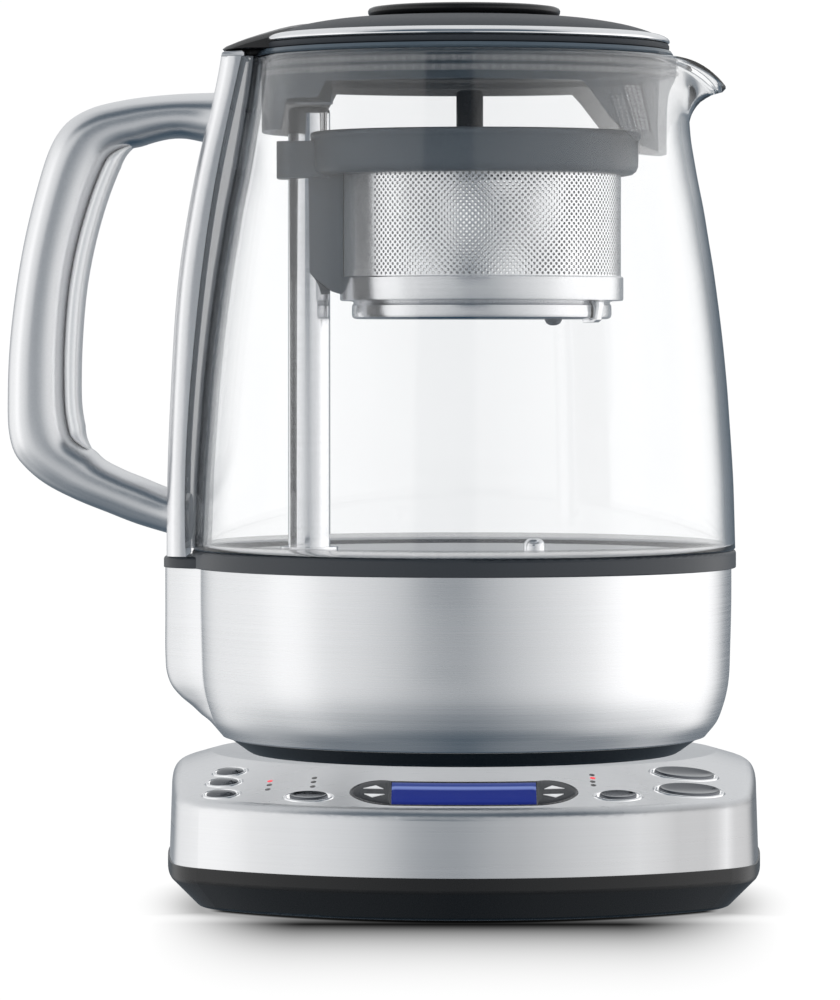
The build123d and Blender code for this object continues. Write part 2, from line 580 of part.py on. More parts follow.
def beak(grow, z_extra):
    """Spout as the overlap of its side view and its plan."""
    side = [(50.0, 237.1 + z_extra), (58.5, 237.1 + z_extra), (65.3, 234.9 + z_extra), (69.8, 232.8 + z_extra),
            (74.4 + grow, 229.2 + z_extra), (75.0 + grow, 227.6 + (z_extra * 0.5)),
            (70.5 + grow * 0.7, 226.8 - grow * 0.8), (67.3 + grow * 0.7, 224.6 - grow * 0.8),
            (65.0 + grow * 0.8, 222.0 - grow * 0.7), (62.9 + grow, 217.0 - grow * 0.5), (50.0, 217.0 - grow * 0.5)]
    prism = extrude(face_xz(side), 40, both=True)
    w = 19.0 + grow
    plan = [(48.0, -w - 3), (57.0, -w), (63.5, -12.2 - grow), (70.0, -6.6 - grow), (74.2 + grow, -3.6 - 0.6 * grow),
            (75.2 + grow, 0.0), (74.2 + grow, 3.6 + 0.6 * grow), (70.0, 6.6 + grow), (63.5, 12.2 + grow), (57.0, w),
            (48.0, w + 3)]
    with BuildLine() as line:
        Spline(*plan)
        Line(plan[-1], plan[0])
    return prism & (Pos(0, 0, 200) * extrude(make_face(line.line), 60))


spout_out = beak(0.0, 0.0)
spout_in = beak(-2.0, 6.0) & box(40, 90, -60, 60, 200, 250)
jug_glass = (body_out + spout_out) - body_in - spout_in
jug_glass = max(jug_glass.solids(), key=lambda s: s.volume)
put("glass_jug", jug_glass)

# ---------------------------------------------------------------------------
# Column and handle
# ---------------------------------------------------------------------------
with BuildLine() as line:
    Spline(*COLUMN_OUT)
    Line(COLUMN_OUT[-1], COLUMN_IN[-1])
    Spline(*COLUMN_IN[::-1])
    Line(COLUMN_IN[0], COLUMN_OUT[0])
column_face = Plane.XZ * make_face(line.line)
body_clear = rev_curved([(r + 0.35, z) for r, z in GLASS])
col = extrude(column_face, COLUMN_HALF, both=True)
edges = [e for e in col.edges() if abs(abs(e.center().Y) - COLUMN_HALF) < 0.01
         and e.length > 90 and e.center().X < -77.5]
col = try_fillet(col, edges, [13.0, 11.0, 9.0, 7.5, 5.0, 3.5])
col_solid = col
col = col - body_clear - tube(BAND_R + 0.3, 0, 90, 98.6)
with BuildLine() as line:
    Spline(*COLUMN_IN)
    Line(COLUMN_IN[-1], (-55.0, 237.1))
    Line((-55.0, 237.1), (-55.0, 96.4))
    Line((-55.0, 96.4), COLUMN_IN[0])
liner_zone = extrude(Plane.XZ * make_face(line.line), COLUMN_HALF - 1.0, both=True)
column_liner = liner_zone - body_clear - box(-100, 0, -40, 40, 90, 98.8)
column_liner = [s for s in column_liner.solids() if s.center().X < -60]
column_liner = max(column_liner, key=lambda s: s.volume)
channel = extrude(column_face, COLUMN_HALF - 4.0, both=True)
chan_keep = box(-90, -50, -30, 30, 122, 205)
inner_shift = Pos(2.4, 0, 0) * channel
column_shell = col - (inner_shift & chan_keep & col)
column_shell = max(column_shell.solids(), key=lambda s: s.volume)
put("column_shell", column_shell)
put("column_liner", column_liner)

# cap between the column's top and the glass rim
cap_block = box(-67.6, -61.4, -13, 13, 237.15, 238.7) - tube(61.2, 0, 230, 245)
put("column_cap", cap_block)

with BuildLine() as line:
    Spline(*HANDLE_OUT)
    Line(HANDLE_OUT[-1], (-77.0, HANDLE_OUT[-1][1] - 0.6))
    Line((-77.0, HANDLE_OUT[-1][1] - 0.6), (-77.0, HANDLE_IN[-1][1] - 1.2))
    Line((-77.0, HANDLE_IN[-1][1] - 1.2), HANDLE_IN[-1])
    Spline(*HANDLE_IN[::-1])
    Line(HANDLE_IN[0], (-72.0, HANDLE_IN[0][1]))
    Line((-72.0, HANDLE_IN[0][1]), (-69.8, 227.3))
    Line((-69.8, 227.3), HANDLE_OUT[0])
grip = extrude(Plane.XZ * make_face(line.line), HANDLE_HALF, both=True)
long_edges = [e for e in grip.edges() if abs(abs(e.center().Y) - HANDLE_HALF) < 0.01 and e.length > 60]
grip = try_fillet(grip, long_edges, [5.0, 4.0, 3.0, 2.0, 1.0])
grip = grip - col_solid - liner_zone - body_clear
grip = max(grip.solids(), key=lambda s: s.volume)
INLAY_IN = [(-103.6, 190.0), (-106.0, 180.0), (-107.4, 171.0), (-108.2, 161.6), (-108.8, 148.6), (-108.5, 137.2),
            (-107.3, 131.5)]
with BuildLine() as line:
    Spline(*INLAY_IN)
    back = [(x - 2.4, z) for x, z in INLAY_IN]
    Line(INLAY_IN[-1], back[-1])
    Spline(*back[::-1])
    Line(back[0], INLAY_IN[0])
inlay = extrude(Plane.XZ * make_face(line.line), 6.0, both=True)
inlay = inlay & (Pos(0.15, 0, 0) * grip)
grip = grip - inlay
put("handle_grip", max(grip.solids(), key=lambda s: s.volume))
put("handle_inlay", max(inlay.solids(), key=lambda s: s.volume))

# ---------------------------------------------------------------------------
# Basket on its carriage
# ---------------------------------------------------------------------------
zc0, zc1 = COLLAR_Z
ring = Pos(COLLAR_X, 0, zc0) * extrude(Circle(COLLAR_R - 0.7), zc1 - zc0)
lip = Pos(COLLAR_X, 0, zc1 - 1.4) * extrude(Circle(COLLAR_R), 1.4)
ring = ring + lip
block = box(-53.0, -38.0, -9.0, 9.0, 203.0, 213.4)
block = try_fillet(block, [e for e in block.edges().filter_by(Axis.Z) if e.center().X < -50], [5.0, 3.0])
arm_pts = [(-44.0 + POLE_R + 0.6, 213.0), (-30.0, 213.0), (-30.0, 203.0), (-34.7, 200.0), (-34.7, 169.6),
           (-37.0, 171.0), (-40.5, 173.6), (-43.6, 176.2), (-44.0, 203.0)]
arm = extrude(face_xz(arm_pts), 6.5, both=True)
carriage = ring + block + arm
carriage = carriage - tube(BASKET_R + 0.1, 0, 160, 220, BASKET_X)
carriage = carriage - tube(POLE_R + 0.35, 0, 150, 230, POLE_X)
carriage = carriage - tube(8.6, 0, 204.6, 211.8, POLE_X)
carriage = max(carriage.solids(), key=lambda s: s.volume)
put("basket_carriage", carriage)
put("carriage_magnet", tube(8.6, POLE_R + 0.5, 204.6, 211.8, POLE_X))
mesh = tube(BASKET_R, BASKET_R - 0.8, MESH_Z[0], MESH_Z[1], BASKET_X)
put("basket_mesh", mesh)
band = tube(40.2, BASKET_R - 0.8, BASKET_BAND_Z[0], BASKET_BAND_Z[1], BASKET_X) - box(-60, -34.6, -30, 30, 160, 180)
pan = rev([(0, 164.4), (30.0, 164.4), (33.4, 163.3), (35.6, 163.3), (35.6, 165.2), (36.6, 168.4), (BASKET_R - 0.9, 168.4),
            (BASKET_R - 0.9, 170.4), (35.2, 170.4), (33.8, 166.0), (0, 166.0)])
pan = Pos(BASKET_X, 0, 0) * pan
pan = pan + (Pos(BASKET_X, 0, 0) * (Rot(0, 0, -18) * box(34.8, 37.4, -3.2, 3.2, 163.6, 168.4)))
put("basket_base", pan + band)
cov = Pos(BASKET_X, 0, 0) * rev([(0, 212.0), (38.6, 212.0), (38.6, 213.4), (31.0, 213.4), (27.0, 215.4), (8.0, 216.2), (0, 216.4)])
stem = rev([(0, 214.0), (3.75, 214.0), (3.75, 226.9), (2.9, 228.0), (0, 228.0)])
put("basket_cover", cov + Pos(STEM_X, 0, 0) * stem)

# ---------------------------------------------------------------------------
# Lid
# ---------------------------------------------------------------------------
cap = rev([(0, 243.9), (36.0, 243.9), (53.0, 240.7), (53.0, 239.0), (58.0, 239.0), (58.0, 240.9), (57.0, 240.9),
           (54.9, 241.4), (54.9, 243.4), (51.1, 244.9), (47.0, 246.1), (41.0, 247.2), (35.0, 247.95), (28.4, 248.4),
           (27.6, 248.1), (0, 248.1)])
put("lid_cap", cap)
chrome = rev([(55.0, 241.45), (57.8, 240.95), (58.3, 241.4), (57.9, 242.2), (56.6, 243.0), (55.2, 243.5), (54.95, 243.0)])
put("lid_chrome_ring", chrome)
flange = rev([(0, 237.4), (59.0, 237.4), (59.2, 238.0), (58.6, 238.9), (0, 238.9)])
knob = rev([(0, 248.15), (25.4, 248.15), (26.4, 248.6), (27.2, 250.3), (27.2, 250.9), (26.2, 251.7), (24.0, LID_TOP_Z),
            (0, LID_TOP_Z)])
put("lid_knob", knob)
tab_pts = [(-67.9, 239.0), (-67.9, 240.0), (-61.4, 242.3), (-55.4, 244.3), (-50.6, 245.8), (-49.0, 245.8), (-49.0, 243.0),
           (-53.5, 239.2)]
tab = extrude(face_xz(tab_pts), 15.0, both=True)
tab = try_fillet(tab, [e for e in tab.edges() if e.center().X < -67 and e.bounding_box().size.Z > 0.9
                       and e.bounding_box().size.Y < 0.1], [6.0, 3.0])
tab = tab - cap - chrome - knob - flange - rev([(0, 238.8), (58.35, 238.8), (58.35, 241.4), (54.9, 241.4), (54.9, 244.0),
                                                (0, 247.3)])
tab = max(tab.solids(), key=lambda s: s.volume)
put("lid_rear_tab", tab)

skirt = rev([(55.0, 228.8), (NECK_R, 228.8), (NECK_R, 237.5), (0, 237.5), (0, 235.8), (55.0, 235.8)])


def apron(points_xz, side):
    shell = tube(NECK_R, 55.0, 205.0, 231.0)
    cut = extrude(face_xz(points_xz), 70, both=True)
    keep = box(0, 80, -70, 70, 200, 240) if side > 0 else box(-80, 0, -70, 70, 200, 240)
    return shell & cut & keep


right = apron([(30.0, 231.0), (34.4, 226.1), (40.3, 218.2), (46.0, 213.4), (49.2, 211.2), (56.8, 209.8), (62.0, 210.2),
               (62.0, 231.0)], 1)
left = apron([(-62.0, 231.0), (-62.0, 216.0), (-50.4, 216.0), (-48.6, 224.4), (-40.0, 224.4), (-36.5, 231.0)], -1)
skirt = skirt + right + left
web = (tube(55.5, 0, 224.4, 237.0) & box(-60, -37.5, -8, 8, 220, 237))
skirt = skirt + web
# a slanting filter window on each side of the spout, so that tea pours through it
WINDOW_XZ = [(43.3, 228.2), (48.4, 228.2), (51.6, 215.4), (47.2, 215.4)]
window = extrude(face_xz(WINDOW_XZ), 70, both=True) & (box(30, 70, -70, -12, 200, 240) + box(30, 70, 12, 70, 200, 240))
skirt = skirt - window
skirt = max((skirt + flange).solids(), key=lambda s: s.volume)
put("lid_skirt", skirt)
flt = tube(NECK_R - 0.6, 56.0, 215.4, 228.2) & window
slits = Part()
for j in range(5):
    z = 217.0 + j * 2.4
    left_x, right_x = 47.2 - 0.3047 * (z - 215.4), 51.6 - 0.25 * (z - 215.4)
    for i in range(4):
        az = math.degrees(math.acos((left_x + (i + 0.5) / 4 * (right_x - left_x)) / 56.7))
        for side in (-1, 1):
            slits = slits + Rot(0, 0, side * az) * box(54, 60, -0.5, 0.5, z - 0.8, z + 0.8)
put("spout_filter", flt - slits)
put("lid_seal", rev([(NECK_R, 231.0), (57.95, 231.4), (57.95, 232.4), (NECK_R, 232.8)]) +
    rev([(NECK_R, 233.6), (57.95, 234.0), (57.95, 235.0), (NECK_R, 235.4)]))

# ---------------------------------------------------------------------------
os.makedirs("parts", exist_ok=True)
low, high = [1e9] * 3, [-1e9] * 3
for name, shape in PARTS.items():
    export_step(shape, f"parts/{name}.step")
    bb = shape.bounding_box()
    for i, (a, b) in enumerate(zip(tuple(bb.min), tuple(bb.max))):
        low[i], high[i] = min(low[i], a), max(high[i], b)
print("nodes", len(PARTS), "box", [round(v, 2) for v in low], [round(v, 2) for v in high])
print("rocker centres", [tuple(round(v, 2) for v in (c.X + JUG_AXIS_X, c.Y + JUG_AXIS_Y, c.Z)) for c in ROCKER_C])
for name, (r, p, a, b, t) in KEYS.items():
    z = panel_plane(r, p).z_dir
    print(name, "press axis", round(z.X, 4), round(z.Y, 4), round(z.Z, 4))
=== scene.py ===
import bpy
import bmesh
import json
import math
import numpy as np
from mathutils import Matrix, Vector
from mathutils.bvhtree import BVHTree

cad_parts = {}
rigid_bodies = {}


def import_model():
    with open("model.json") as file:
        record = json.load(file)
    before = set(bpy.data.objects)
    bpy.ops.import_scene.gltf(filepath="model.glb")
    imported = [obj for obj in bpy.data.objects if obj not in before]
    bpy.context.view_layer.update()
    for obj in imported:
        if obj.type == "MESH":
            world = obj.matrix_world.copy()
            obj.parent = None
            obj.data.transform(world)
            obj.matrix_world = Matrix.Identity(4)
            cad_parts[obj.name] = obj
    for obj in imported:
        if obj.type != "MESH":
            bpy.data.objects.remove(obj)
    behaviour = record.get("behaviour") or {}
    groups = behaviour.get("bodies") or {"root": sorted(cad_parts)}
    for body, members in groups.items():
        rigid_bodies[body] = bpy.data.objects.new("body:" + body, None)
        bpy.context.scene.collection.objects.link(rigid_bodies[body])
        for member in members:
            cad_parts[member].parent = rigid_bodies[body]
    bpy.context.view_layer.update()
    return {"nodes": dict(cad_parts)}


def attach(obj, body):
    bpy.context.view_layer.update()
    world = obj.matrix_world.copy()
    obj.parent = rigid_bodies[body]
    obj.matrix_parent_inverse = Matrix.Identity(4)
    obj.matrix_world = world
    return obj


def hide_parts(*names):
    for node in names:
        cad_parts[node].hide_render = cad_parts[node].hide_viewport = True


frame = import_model()
NODES = frame["nodes"]

# ---------------------------------------------------------------------------
# Frame: the drawing coordinates below are millimetres with the jug's axis at
# x = y = 0; every mesh is written in metres in the row frame.
# ---------------------------------------------------------------------------
X0, Y0 = 22.89, 3.75
SIN16, COS16 = math.sin(math.radians(16.0)), math.cos(math.radians(16.0))
TAN16 = SIN16 / COS16


def V(x, y, z):
    return Vector(((x + X0) / 1000.0, (y + Y0) / 1000.0, z / 1000.0))


# ---------------------------------------------------------------------------
# Materials
# ---------------------------------------------------------------------------
MATS = {}


def material(name, color, rough, metal=0.0, spec=0.5, ior=1.5, coat=0.0, coat_rough=0.08, trans=0.0, aniso=0.0,
             aniso_rot=0.0, tangent=None, grain=(900, 900, 900), grain_detail=3.0, color_var=0.06, rough_var=0.05,
             bump=0.05, bump_dist=0.00005, cloud=0.0, cloud_scale=25.0, emission=None, emission_strength=0.0,
             sss=0.0, alpha=1.0, uv=False, second=None, wall=None, opaque_above=None,
             painted_wall_shading=None):
    """Principled surface whose colour, roughness and relief vary with stretched noise."""
    m = bpy.data.materials.new(name)
    m.use_nodes = True
    nt = m.node_tree
    nt.nodes.clear()
    N, L = nt.nodes.new, nt.links.new
    out = N("ShaderNodeOutputMaterial")
    p = N("ShaderNodeBsdfPrincipled")
    L(p.outputs["BSDF"], out.inputs["Surface"])
    p.inputs["Metallic"].default_value = metal
    p.inputs["IOR"].default_value = ior
    p.inputs["Specular IOR Level"].default_value = spec
    p.inputs["Coat Weight"].default_value = coat
    p.inputs["Coat Roughness"].default_value = coat_rough
    p.inputs["Transmission Weight"].default_value = trans
    p.inputs["Anisotropic"].default_value = aniso
    p.inputs["Anisotropic Rotation"].default_value = aniso_rot
    p.inputs["Alpha"].default_value = alpha
    if sss:
        p.inputs["Subsurface Weight"].default_value = sss
        p.inputs["Subsurface Scale"].default_value = 0.002
    if emission:
        p.inputs["Emission Color"].default_value = (*emission, 1)
        p.inputs["Emission Strength"].default_value = emission_strength
    co = N("ShaderNodeTexCoord")
    mp = N("ShaderNodeMapping")
    L(co.outputs["UV" if uv else "Object"], mp.inputs["Vector"])
    mp.inputs["Scale"].default_value = grain
    coords = mp.outputs["Vector"]
    if wall:
        # another direction of brushing on upright faces
        mw = N("ShaderNodeMapping")
        mw.inputs["Scale"].default_value = wall
        L(co.outputs["Object"], mw.inputs["Vector"])
        ge = N("ShaderNodeNewGeometry")
        sz = N("ShaderNodeSeparateXYZ")
        L(ge.outputs["Normal"], sz.inputs[0])
        st = N("ShaderNodeMapRange")
        st.inputs["From Min"].default_value = 0.45
        st.inputs["From Max"].default_value = 0.85
        L(sz.outputs["Z"], st.inputs["Value"])
        vm = N("ShaderNodeMix")
        vm.data_type = "VECTOR"
        L(st.outputs["Result"], vm.inputs["Factor"])
        L(mw.outputs["Vector"], vm.inputs["A"])
        L(mp.outputs["Vector"], vm.inputs["B"])
        coords = vm.outputs["Result"]
    if opaque_above is not None:
        so = N("ShaderNodeSeparateXYZ")
        L(co.outputs["Object"], so.inputs[0])
        oa = N("ShaderNodeMapRange")
        oa.inputs["From Min"].default_value = opaque_above
        oa.inputs["From Max"].default_value = opaque_above + 0.0002
        oa.inputs["To Min"].default_value = alpha
        oa.inputs["To Max"].default_value = 1.0
        L(so.outputs["Z"], oa.inputs["Value"])
        # painted light: the smoke turns clearer, and so lighter, towards the spout side
        ox = N("ShaderNodeMapRange")
        ox.inputs["From Min"].default_value = (X0 + 12.0) / 1000
        ox.inputs["From Max"].default_value = (X0 + 48.0) / 1000
        ox.inputs["To Min"].default_value = alpha
        ox.inputs["To Max"].default_value = alpha - 0.36
        L(so.outputs["X"], ox.inputs["Value"])
        L(ox.outputs["Result"], oa.inputs["To Min"])
        L(oa.outputs["Result"], p.inputs["Alpha"])
    no = N("ShaderNodeTexNoise")
    no.inputs["Scale"].default_value = 1.0
    no.inputs["Detail"].default_value = grain_detail
    no.inputs["Roughness"].default_value = 0.6
    L(coords, no.inputs["Vector"])
    fac = no.outputs["Fac"]
    if cloud:
        n2 = N("ShaderNodeTexNoise")
        n2.inputs["Scale"].default_value = cloud_scale
        n2.inputs["Detail"].default_value = 2.0
        L(co.outputs["Object"], n2.inputs["Vector"])
        mixc = N("ShaderNodeMath")
        mixc.operation = "MULTIPLY_ADD"
        L(n2.outputs["Fac"], mixc.inputs[0])
        mixc.inputs[1].default_value = cloud
        L(fac, mixc.inputs[2])
        fac = mixc.outputs[0]
    mr = N("ShaderNodeMapRange")
    mr.inputs["From Min"].default_value = 0.3
    mr.inputs["From Max"].default_value = 0.7 + cloud
    mr.inputs["To Min"].default_value = max(0.0, rough - rough_var)
    mr.inputs["To Max"].default_value = rough + rough_var
    L(fac, mr.inputs["Value"])
    L(mr.outputs["Result"], p.inputs["Roughness"])
    cr = N("ShaderNodeValToRGB")
    lo = [max(0.0, c * (1 - color_var)) for c in color]
    hi = [min(1.0, c * (1 + color_var)) for c in color]
    cr.color_ramp.elements[0].position = 0.3
    cr.color_ramp.elements[0].color = (*lo, 1)
    cr.color_ramp.elements[1].position = 0.7
    cr.color_ramp.elements[1].color = (*hi, 1)
    L(fac, cr.inputs["Fac"])
    base = cr.outputs["Color"]
    if second:
        # second = (colour, edge0, edge1): a thin wear tint where a coarse noise is high
        n3 = N("ShaderNodeTexNoise")
        n3.inputs["Scale"].default_value = second[3] if len(second) > 3 else 60.0
        n3.inputs["Detail"].default_value = 4.0
        L(co.outputs["Object"], n3.inputs["Vector"])
        r3 = N("ShaderNodeMapRange")
        r3.inputs["From Min"].default_value = second[1]
        r3.inputs["From Max"].default_value = second[2]
        L(n3.outputs["Fac"], r3.inputs["Value"])
        mx = N("ShaderNodeMix")
        mx.data_type = "RGBA"
        L(r3.outputs["Result"], mx.inputs["Factor"])
        L(base, mx.inputs["A"])
        mx.inputs["B"].default_value = (*second[0], 1)
        base = mx.outputs["Result"]
    if painted_wall_shading:
        # painted shade and a painted highlight on the brushed wall: darker mostly towards its right end, with a lighter
        # stripe near x 72 mm: (x in mm, factor)
        sx = N("ShaderNodeSeparateXYZ")
        L(co.outputs["Object"], sx.inputs[0])
        rx = N("ShaderNodeMapRange")
        rx.inputs["From Min"].default_value = (X0 - 85.0) / 1000
        rx.inputs["From Max"].default_value = (X0 + 85.0) / 1000
        L(sx.outputs["X"], rx.inputs["Value"])
        tr = N("ShaderNodeValToRGB")
        for k, (x, f) in enumerate(painted_wall_shading):
            pos = (x + 85.0) / 170.0
            e = tr.color_ramp.elements[k] if k < 2 else tr.color_ramp.elements.new(pos)
            e.position, e.color = pos, (f, f, f, 1)
        L(rx.outputs["Result"], tr.inputs["Fac"])
        keep = N("ShaderNodeMix")
        keep.data_type = "RGBA"
        L(st.outputs["Result"], keep.inputs["Factor"])
        L(tr.outputs["Color"], keep.inputs["A"])
        keep.inputs["B"].default_value = (1, 1, 1, 1)
        mt = N("ShaderNodeMix")
        mt.data_type = "RGBA"
        mt.blend_type = "MULTIPLY"
        mt.inputs["Factor"].default_value = 1.0
        L(base, mt.inputs["A"])
        L(keep.outputs["Result"], mt.inputs["B"])
        base = mt.outputs["Result"]
    L(base, p.inputs["Base Color"])
    if bump:
        b = N("ShaderNodeBump")
        b.inputs["Strength"].default_value = bump
        b.inputs["Distance"].default_value = bump_dist
        L(fac, b.inputs["Height"])
        L(b.outputs["Normal"], p.inputs["Normal"])
    if tangent:
        t = N("ShaderNodeTangent")
        if tangent == "UV":
            t.direction_type = "UV_MAP"
        else:
            t.direction_type = "RADIAL"
            t.axis = tangent
        L(t.outputs["Tangent"], p.inputs["Tangent"])
    m.diffuse_color = (*color, 1)
    MATS[name] = m
    return m


STEEL = (0.74, 0.745, 0.755)
# satin steel brushed round the vertical axis: bowl, basket bands
material("steel_round", STEEL, 0.28, metal=1.0, grain=(7, 7, 2600), grain_detail=3.0, color_var=0.028, rough_var=0.03,
         bump=0.015, bump_dist=0.00001, aniso=0.4, aniso_rot=0.25, tangent="Z")
# satin steel brushed from side to side on top and round the wall: cover of the base
material("steel_cover", STEEL, 0.29, metal=1.0, grain=(9, 1500, 300), wall=(9, 9, 2600), grain_detail=3.0, color_var=0.022,
         rough_var=0.02, bump=0.006, bump_dist=0.00001, aniso=0.2, aniso_rot=0.25, tangent="Z",
         # painted shade and a painted highlight stripe across the wall, set by x
         painted_wall_shading=[(-80, 1.0), (-68, 0.97), (-58, 0.90), (-44, 1.0), (-17, 1.0), (2, 0.97), (15, 0.86), (31, 0.86), (47, 0.84),
                    (53.5, 0.70), (58, 0.58), (66, 0.54), (69, 0.60), (71.7, 0.76), (74, 0.58), (78, 0.52)])
material("steel_basket", (0.76, 0.765, 0.775), 0.22, metal=1.0, grain=(10, 10, 2600), color_var=0.03, rough_var=0.03, bump=0.05,
         bump_dist=0.00002, aniso=0.5, aniso_rot=0.25, tangent="Z")
material("steel_mesh", (0.93, 0.935, 0.945), 0.22, metal=0.78, grain=(500, 500, 500), color_var=0.04, rough_var=0.04, bump=0.04)
material("steel_polished", (0.74, 0.745, 0.76), 0.09, metal=1.0, grain=(60, 60, 1400), color_var=0.03, rough_var=0.025,
         bump=0.02, bump_dist=0.00002)
material("steel_floor", (0.60, 0.605, 0.615), 0.34, metal=1.0, grain=(1700, 24, 800), color_var=0.08, rough_var=0.06,
         bump=0.08, bump_dist=0.00003)
material("chrome", (0.84, 0.845, 0.855), 0.07, metal=1.0, grain=(700, 700, 700), color_var=0.015, rough_var=0.02, bump=0.015)
material("dark_chrome", (0.20, 0.21, 0.225), 0.16, metal=1.0, grain=(900, 900, 900), color_var=0.06, rough_var=0.04, bump=0.02)
material("handle_metal", (0.78, 0.785, 0.795), 0.30, metal=1.0, grain=(1500, 1500, 1500), color_var=0.02, rough_var=0.025,
         bump=0.02, bump_dist=0.00002)
material("inlay_metal", (0.95, 0.955, 0.96), 0.34, metal=0.6, grain=(1100, 1100, 1100), color_var=0.015, rough_var=0.02,
         bump=0.015, bump_dist=0.00002)
material("glass", (0.985, 0.987, 0.988), 0.0, trans=1.0, ior=1.47, grain=(30, 30, 30), color_var=0.004, rough_var=0.0,
         bump=0.0, spec=0.5)
material("black_plastic", (0.0065, 0.0068, 0.0075), 0.30, spec=0.34, grain=(2600, 2600, 2600), color_var=0.16, rough_var=0.04,
         bump=0.08, bump_dist=0.00002)
material("gloss_black", (0.010, 0.010, 0.012), 0.14, spec=0.4, grain=(1200, 1200, 1200), color_var=0.15, rough_var=0.03,
         bump=0.02)
material("graphite", (0.085, 0.108, 0.132), 0.36, spec=0.28, grain=(1100, 1100, 1100), color_var=0.05, rough_var=0.04,
         bump=0.015, bump_dist=0.00001)
material("band_dark", (0.024, 0.029, 0.036), 0.36, spec=0.42, grain=(2400, 2400, 2400), color_var=0.08, rough_var=0.04,
         bump=0.05, bump_dist=0.00002)
material("rocker_grey", (0.030, 0.033, 0.038), 0.40, spec=0.16, grain=(2400, 2400, 2400), color_var=0.10, rough_var=0.05,
         bump=0.06, bump_dist=0.00002)
material("graphite_gloss", (0.028, 0.033, 0.040), 0.46, spec=0.16, grain=(1500, 1500, 1500), color_var=0.08, rough_var=0.035,
         bump=0.03, bump_dist=0.00002)
material("smoke", (0.26, 0.28, 0.305), 0.24, spec=0.5, alpha=0.46, grain=(1200, 1200, 1200), color_var=0.05, rough_var=0.03,
         bump=0.01, bump_dist=0.00001)
material("smoke_lid", (0.060, 0.084, 0.108), 0.22, spec=0.28, alpha=0.80, opaque_above=0.2370, grain=(700, 700, 700),
         color_var=0.04, rough_var=0.03, bump=0.008, bump_dist=0.00001)
material("seal_clear", (0.55, 0.56, 0.57), 0.35, spec=0.35, alpha=0.30, grain=(1800, 1800, 1800), color_var=0.05, rough_var=0.05,
         bump=0.03)
material("silicone", (0.36, 0.37, 0.38), 0.5, spec=0.35, grain=(1800, 1800, 1800), color_var=0.10, rough_var=0.08, bump=0.1)
material("foot_rubber", (0.02, 0.02, 0.021), 0.70, spec=0.3, grain=(1500, 1500, 1500), color_var=0.2, rough_var=0.1, bump=0.3)
material("display", (0.006, 0.010, 0.07), 0.10, spec=0.30, grain=(8, 500, 500), color_var=0.10, rough_var=0.015, bump=0.0,
         emission=(0.020, 0.038, 0.265), emission_strength=0.92)
material("lamp_red", (0.70, 0.02, 0.03), 0.20, grain=(900, 900, 900), color_var=0.05, rough_var=0.04, bump=0.02,
         emission=(1.0, 0.03, 0.06), emission_strength=0.45)
material("lamp_dark", (0.015, 0.012, 0.013), 0.22, grain=(900, 900, 900), color_var=0.1, rough_var=0.04, bump=0.02)
material("board", (0.02, 0.13, 0.06), 0.35, grain=(600, 600, 600), color_var=0.25, rough_var=0.1, bump=0.1)
material("electronics", (0.03, 0.03, 0.033), 0.45, grain=(900, 900, 900), color_var=0.2, rough_var=0.1, bump=0.1)
material("brass", (0.78, 0.60, 0.28), 0.25, metal=1.0, grain=(400, 400, 900), color_var=0.08, rough_var=0.08, bump=0.05)
material("zinc", (0.55, 0.57, 0.60), 0.36, metal=1.0, grain=(300, 300, 300), color_var=0.12, rough_var=0.1, bump=0.1)
material("magnet", (0.17, 0.17, 0.18), 0.42, metal=0.9, grain=(500, 500, 500), color_var=0.1, rough_var=0.1, bump=0.1)
material("label_white", (0.80, 0.81, 0.82), 0.40, grain=(900, 900, 900), color_var=0.03, rough_var=0.05, bump=0.02)
material("key_dark", (0.115, 0.122, 0.134), 0.16, metal=1.0, grain=(1500, 1500, 1500), color_var=0.06, rough_var=0.03,
         bump=0.02, bump_dist=0.00002)
material("bezel_dark", (0.020, 0.022, 0.026), 0.28, spec=0.45, grain=(1500, 1500, 1500), color_var=0.08, rough_var=0.03,
         bump=0.02, bump_dist=0.00002)

NODE_MAT = {
    "base_cover": "steel_cover", "cover_liner": "black_plastic", "base_housing": "black_plastic", "cord_bush": "foot_rubber",
    "rubber_feet": "foot_rubber", "base_screws": "zinc", "display_bezel": "bezel_dark", "display_window": "display",
    "lcd_module": "electronics", "key_rings": "chrome", "lit_indicators": "lamp_red", "dark_indicators": "lamp_dark",
    "control_board": "board", "key_switches": "electronics", "power_board": "board", "power_relay": "electronics",
    "connector_pod": "black_plastic", "pod_contacts": "brass", "jug_socket": "black_plastic", "jug_boot": "black_plastic",
    "boot_screws": "zinc", "steel_bowl": "steel_round", "ring_band": "band_dark", "heating_plate": "steel_floor",
    "glass_seal": "seal_clear", "heating_element": "handle_metal", "temperature_probe": "steel_polished", "lift_motor": "zinc",
    "motor_bracket": "zinc", "guide_pole": "steel_polished", "glass_jug": "glass", "column_shell": "handle_metal",
    "column_liner": "smoke", "column_cap": "black_plastic", "handle_grip": "handle_metal", "handle_inlay": "chrome",
    "lead_screw": "zinc", "screw_coupler": "brass", "magnet_slider": "magnet", "basket_carriage": "graphite",
    "carriage_magnet": "magnet", "basket_mesh": "steel_mesh", "basket_base": "steel_basket", "basket_cover": "gloss_black",
    "lid_cap": "graphite_gloss", "lid_chrome_ring": "chrome", "lid_knob": "black_plastic", "lid_rear_tab": "black_plastic",
    "lid_seal": "seal_clear", "lid_skirt": "smoke_lid", "spout_filter": "steel_polished", "temperature_rocker": "rocker_grey",
    "time_rocker": "rocker_grey",
}
for k in ("auto_start_button", "keep_warm_button", "basket_button", "tea_type_button", "strength_button",
          "hot_water_button", "tea_button"):
    NODE_MAT[k] = "key_dark"
for name, ob in NODES.items():
    ob.data.materials.clear()
    ob.data.materials.append(MATS[NODE_MAT[name]])
    for poly in ob.data.polygons:
        poly.use_smooth = True
